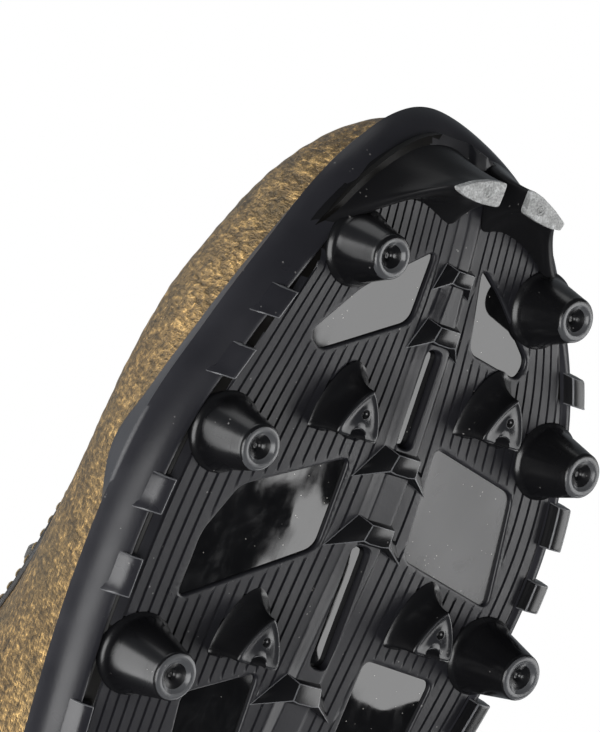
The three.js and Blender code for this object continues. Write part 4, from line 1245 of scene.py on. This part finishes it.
def tongue():
    """Padded tongue, swollen by cloth simulation, with a sewn rim and a lace loop."""
    pad = slab_object("tongue_pad", tongue_grid(TONGUE_TOP, 1.0), tongue_grid(TONGUE_BOTTOM, 1.0),
                      MATS["tongue"], 60)
    inflate(pad, lambda p: p[:, 0] > TONGUE_SEWN, 2.2, 0.8)
    points = coordinates(pad)
    x, y, _ = points.T
    groove = np.exp(-((np.abs(y - ridge_y(x)) - 6.5) / 0.9) ** 2)      # two quilting lines
    groove *= smoothstep(-18, -12, x) * (1 - smoothstep(44, 50, x))
    normals = np.zeros(len(points) * 3)
    pad.data.vertices.foreach_get("normal", normals)
    normals = normals.reshape(-1, 3)
    upward = np.clip(normals[:, 2], 0, 1)
    move_to(pad, points - normals * (0.55 * groove * upward)[:, None])
    settle(pad, "tongue_knit", "tongue", body="tongue")
    middle = tongue_grid(8.85, 0.9)
    border = np.concatenate([middle[4:, 0], middle[-1, 1:-1], middle[4:, -1][::-1]])
    both = relax(resample(border, 1.0), 5)
    ups = np.tile([0.25, 0.0, 1.0], (len(both), 1))
    settle(sweep("tongue_binding", both, ups, oval(2.4, 3.6), MATS["lining"]), "lining_fabric",
           body="tongue")
    a = np.linspace(-1, 1, 15)[:, None]
    lift = np.array([0.3, 0.0, 0.95])
    path = middle[38, 16] + a * [0, 7.5, 0] + lift * (2.2 + 0.55 * (1 - a * a))
    settle(sweep("tongue_lace_loop", path, np.tile(lift, (15, 1)), oval(6.0, 0.9, 16, 0.6),
                 MATS["webbing"]), "tongue_knit", body="tongue")


def eyestay(side, name):
    """Film band along the throat with the eyelets, edges rounded, corners round."""
    xs = np.linspace(THROAT_FRONT - 2.6, COLLAR_FRONT + 0.5, 90)[:, None]
    from_end = np.minimum(xs[0] - xs, xs - xs[-1])
    corner = 3.2
    tuck = corner - np.sqrt(np.maximum(0, corner ** 2 - np.maximum(0, corner - from_end) ** 2))
    near = throat_half(xs) + 1.0 + tuck
    far = throat_half(xs) + 12.8 - tuck
    distance = near + (far - near) * np.linspace(0, 1, 15)
    point, out = throat_frames(xs + 0 * distance, side, distance)
    film = slab_object(name + "_film", point - out * 0.1, point + out * 0.85, MATS["film"], 40)
    bevel(film, 0.35, 50)
    cut(film, eyelet_cutters(side, HOLE_IN_FILM))
    shade(film.data, 40)
    settle(film, "eyestay_film", name)
    inner, outer, top = EYELET_INNER, EYELET_OUTER, 1.25
    flat = [(outer, 0.6), (outer, 0.95), (outer - 0.3, 1.2), (outer - 0.75, top),
            (inner + 0.5, top), (inner + 0.15, top - 0.12), (inner, top - 0.4), (inner, -2.6),
            (inner + 0.35, -2.7), (inner + 0.45, 0.6)]
    for i, row in enumerate(EYELET_ROWS):
        centre, out = throat_frames(row, side, eyelet_distance(row))
        u = unit(np.cross(out, [1.0, 0.1, 0.2]))
        v = np.cross(out, u)
        rings = [[centre + out * h + r * (math.cos(q) * u + math.sin(q) * v) for r, h in flat]
                 for q in circle(44)]
        settle(loft_object(f"{name}_eyelet_{i}", rings, MATS["ring"], 50, True), "eyestay_film")
    run = np.linspace(THROAT_FRONT - 5.5, COLLAR_FRONT + 3.5, 60)
    seams = [throat_frames(run, side, throat_half(run) + gap) for gap in (1.9, 11.9)]
    stitches(name + "_stitching", [(point + out * 0.9, out) for point, out in seams], 2.8, 2.0)


def lace():
    """Flat braided lace through the eyelets."""
    route = []

    def put(x, side, distance, depth):
        point, out = throat_frames(x, side, distance)
        route.append(point - out * depth)
    first, last = EYELET_ROWS[0], EYELET_ROWS[-1]
    put(first + 5, LATERAL, eyelet_distance(first), LACE_UNDER + 0.15)
    for row, x in enumerate(EYELET_ROWS):
        start = LATERAL if row % 2 == 0 else MEDIAL
        hole = eyelet_distance(x)
        rising = [(hole, LACE_UNDER), (hole, 0.5), (hole - 0.6, -1.6),
                  (hole - 2.2, LACE_OVER), (hole - 5.5, LACE_OVER)]
        for place in rising:
            put(x, start, *place)
        for place in rising[::-1]:
            put(x, -start, *place)
        if x != last:
            for share in (0.25, 0.5, 0.75):
                between = x + (EYELET_ROWS[row + 1] - x) * share
                put(between, -start, eyelet_distance(between), LACE_UNDER + 0.15)
    put(last - 5, MEDIAL, eyelet_distance(last), LACE_UNDER + 0.15)
    path = relax(resample(route, LACE_STEP), 4)
    ahead = unit(np.gradient(path, axis=0))
    flat = np.tile([1.0, 0.0, 0.0], (len(path), 1))      # the lace lies flat along the shoe
    flat -= ahead * (flat * ahead).sum(1)[:, None]
    flat[norm(flat, axis=1) < 0.35] = [0.0, 1.0, 0.0]
    up = np.cross(relax(unit(flat), 6), ahead)
    angle = circle(18)
    run = walked(path)[:, None]
    strands, turn = BRAID_STRANDS * angle, BRAID_TURN * run
    braid = BRAID_DEPTH * np.cos(strands + turn) * np.cos(strands - turn)
    section = np.stack([(LACE_HALF_WIDTH + braid) * np.cos(angle),
                        (LACE_HALF_HEIGHT + braid) * np.sin(angle)], -1)
    settle(sweep("lace_braid", path, up, section, MATS["lace"]), "lace_fabric", "lace")


def heel_tab():
    """Webbing pull loop over the back seam, sewn down at both ends."""
    z = np.linspace(66, 99.5, 34)
    t = (z - z[0]) / (z[-1] - z[0])
    point = upper_point(seat.min, LATERAL, angle_at_height(seat.min, z))
    point[:, 0] -= 0.75 + 1.25 * np.sin(math.pi * np.clip((t - 0.22) / 0.78, 0, 1)) ** 0.8
    ups = np.tile([-1.0, 0.0, 0.12], (len(z), 1))
    weave = 1 + 0.02 * np.cos(z * 3.0)[:, None, None]
    settle(sweep("heel_pull_tab", point, ups, oval(12, 1.3, 22, 0.45) * weave,
                 MATS["webbing"]), "webbing", "heel_tab")
    rows = []
    for level in (67.6, 71.5):
        x, y, _ = upper_point(seat.min, LATERAL, angle_at_height(seat.min, level))
        path = [(x - 1.45, y + along, level) for along in np.linspace(-4.6, 4.6, 12)]
        rows.append((path, np.tile([-1.0, 0.0, 0.0], (12, 1))))
    stitches("heel_tab_stitching", rows, 2.2, 1.6)


def collar_stitching():
    xs, sides, angles = collar_line()
    keep = (xs < COLLAR_FRONT - 4) & (xs > HEEL_AXIS - 30)
    lines = []
    for side in (LATERAL, MEDIAL):
        pick = keep & (sides == side)
        order = np.argsort(xs[pick])
        x, angle = xs[pick][order], angles[pick][order]
        angle = angle_at_height(x, upper_point(x, side, angle)[:, 2] - 4.2)
        point, out = frames(x, side, angle)
        lines.append((point + out * 0.1, out))
    stitches("collar_stitching", lines, 3.0, 2.1, 0.27)


def sockliner():
    """Foam footbed under a textile top: dished heel, edges turned up."""
    edge = Edge(FOOTBED_INSET)
    eased = lambda count: 0.5 * (1 - np.cos(np.linspace(0, math.pi, count)))
    t = eased(41)
    x, y = edge.across(edge.min + 0.5 + (edge.max - edge.min - 1.0) * eased(120), t)
    ends = np.maximum(smoothstep(edge.min + 14, edge.min, x), 0)
    cup = FOOTBED_TURN_UP * np.maximum(np.abs(2 * t - 1) ** 2.4 * smoothstep(-20, -70, x), ends)
    arch = 1.3 * np.exp(-((x + 5) / 35) ** 2) * np.clip(2 * t - 1, 0, 1) ** 1.5
    from_edge = np.minimum(t, 1 - t) * (y[:, -1:] - y[:, :1])
    top = sole_z(x) + FLOOR + FOOTBED_TOP + np.minimum(FOOTBED_TURN_UP, cup + arch)
    top = top - 0.9 * (1 - np.clip(from_edge / 1.2, 0, 1)) ** 2
    pad = slab_object("footbed", np.stack([x, y, sole_z(x) + FLOOR + FOOTBED_UNDER], -1),
                      np.stack([x, y, top], -1), MATS["footbed"], 50)
    settle(pad, "lining_fabric", "sockliner")


def build_upper():
    knit_upper()
    collar_binding()
    collar_padding()
    tongue()
    eyestay(LATERAL, "eyestay_lateral")
    eyestay(MEDIAL, "eyestay_medial")
    lace()
    heel_tab()
    collar_stitching()
    sockliner()
    for node, look in (("insole_board", "board"), ("toe_puff", "sheet"),
                       ("heel_counter", "lining")):
        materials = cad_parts[node].data.materials
        materials.clear()
        materials.append(MATS[look])


# ---------------------------------------------------------------- studio
LENS, SENSOR = 201.6, 36          # millimetres
CAMERA_PLACE = (0.139, -0.472, -0.5216)
CAMERA_RIGHT, CAMERA_UP = (0.35178, 0.73204, -0.58340), (0.93356, -0.22865, 0.27602)
CAMERA_BACK = (0.06867, -0.64174, -0.76384)
FLOOR_HALF, FLOOR_LEVEL = 3, -0.0006
SHOE_BALL = (0.07, 0, 0.015)
LIGHTS = {                        # place, target, size, power; metres and watts
    "key_below_inner": ((0.212, 0.789, -0.586), (0.082, 0.067, 0.089), (0.62, 0.5), 3.9),
    "camera_side": ((-0.22, -0.68, -0.72), (0.03, 0, 0.015), (0.8, 0.7), 10),
    "outer_above": ((-0.25, -0.86, 0.66), SHOE_BALL, (1.3, 0.7), 13),
    "inner_edge_strip": ((0.0, 1.0, -0.17), SHOE_BALL, (1.7, 0.3), 5.0),
    "top": ((0.3, -0.6, 1.4), (0, 0, 0.05), (1.0, 1.0), 4.5),
    "toe_above": ((1.1, -0.3, 0.4), SHOE_BALL, (0.7, 0.6), 1.5)}


def camera():
    """Long lens below the forefoot, looking up at the sole."""
    data = bpy.data.cameras.new("camera")
    data.lens, data.sensor_width = LENS, SENSOR
    data.sensor_fit = "AUTO"
    data.clip_start = 0.01
    basis = Matrix((CAMERA_RIGHT, CAMERA_UP, CAMERA_BACK)).transposed().to_4x4()
    basis.translation = CAMERA_PLACE
    cam = add("camera", data)
    cam.matrix_world = basis
    bpy.context.scene.camera = cam


def studio():
    """Plain pale floor, white surroundings, soft area lights."""
    scene = bpy.context.scene
    scene.world = bpy.data.worlds.new("studio")
    n = Nodes(scene.world, "OutputWorld", "Generated")
    height = n.node("SeparateXYZ", n.coord).outputs["Z"]
    lit = n.node("Background", Color=(0.88, 0.94, 1, 1),
                 Strength=n.scalar(height, 0.035, 0.24, -0.25, 0.7))
    seen = n.node("Background", Color=(1, 1, 1, 1))
    both = n.node("MixShader", n.node("LightPath").outputs["Is Camera Ray"], lit.outputs[0],
                  seen.outputs[0])
    n.put(n.surface, both.outputs[0])
    mesh = bpy.data.meshes.new("floor")
    corners = [(FLOOR_HALF * x, FLOOR_HALF * y, FLOOR_LEVEL)
               for x, y in ((-1, -1), (1, -1), (1, 1), (-1, 1))]
    mesh.from_pydata(corners, [], [(0, 1, 2, 3)])
    mesh.materials.append(MATS["floor"])
    floor = add("floor", mesh)
    floor.visible_shadow = floor.visible_diffuse = floor.visible_glossy = False
    floor.visible_transmission = False
    for name, (place, target, size, power) in LIGHTS.items():
        data = bpy.data.lights.new(name, "AREA")
        data.shape = "RECTANGLE"
        data.size, data.size_y = size
        data.energy = power
        light = add(name, data)
        light.location = place
        aim = Vector(target) - Vector(place)
        light.rotation_euler = aim.to_track_quat("-Z", "Y").to_euler()
    scene.view_settings.view_transform = "Standard"


build_sole()
build_upper()
camera()
studio()
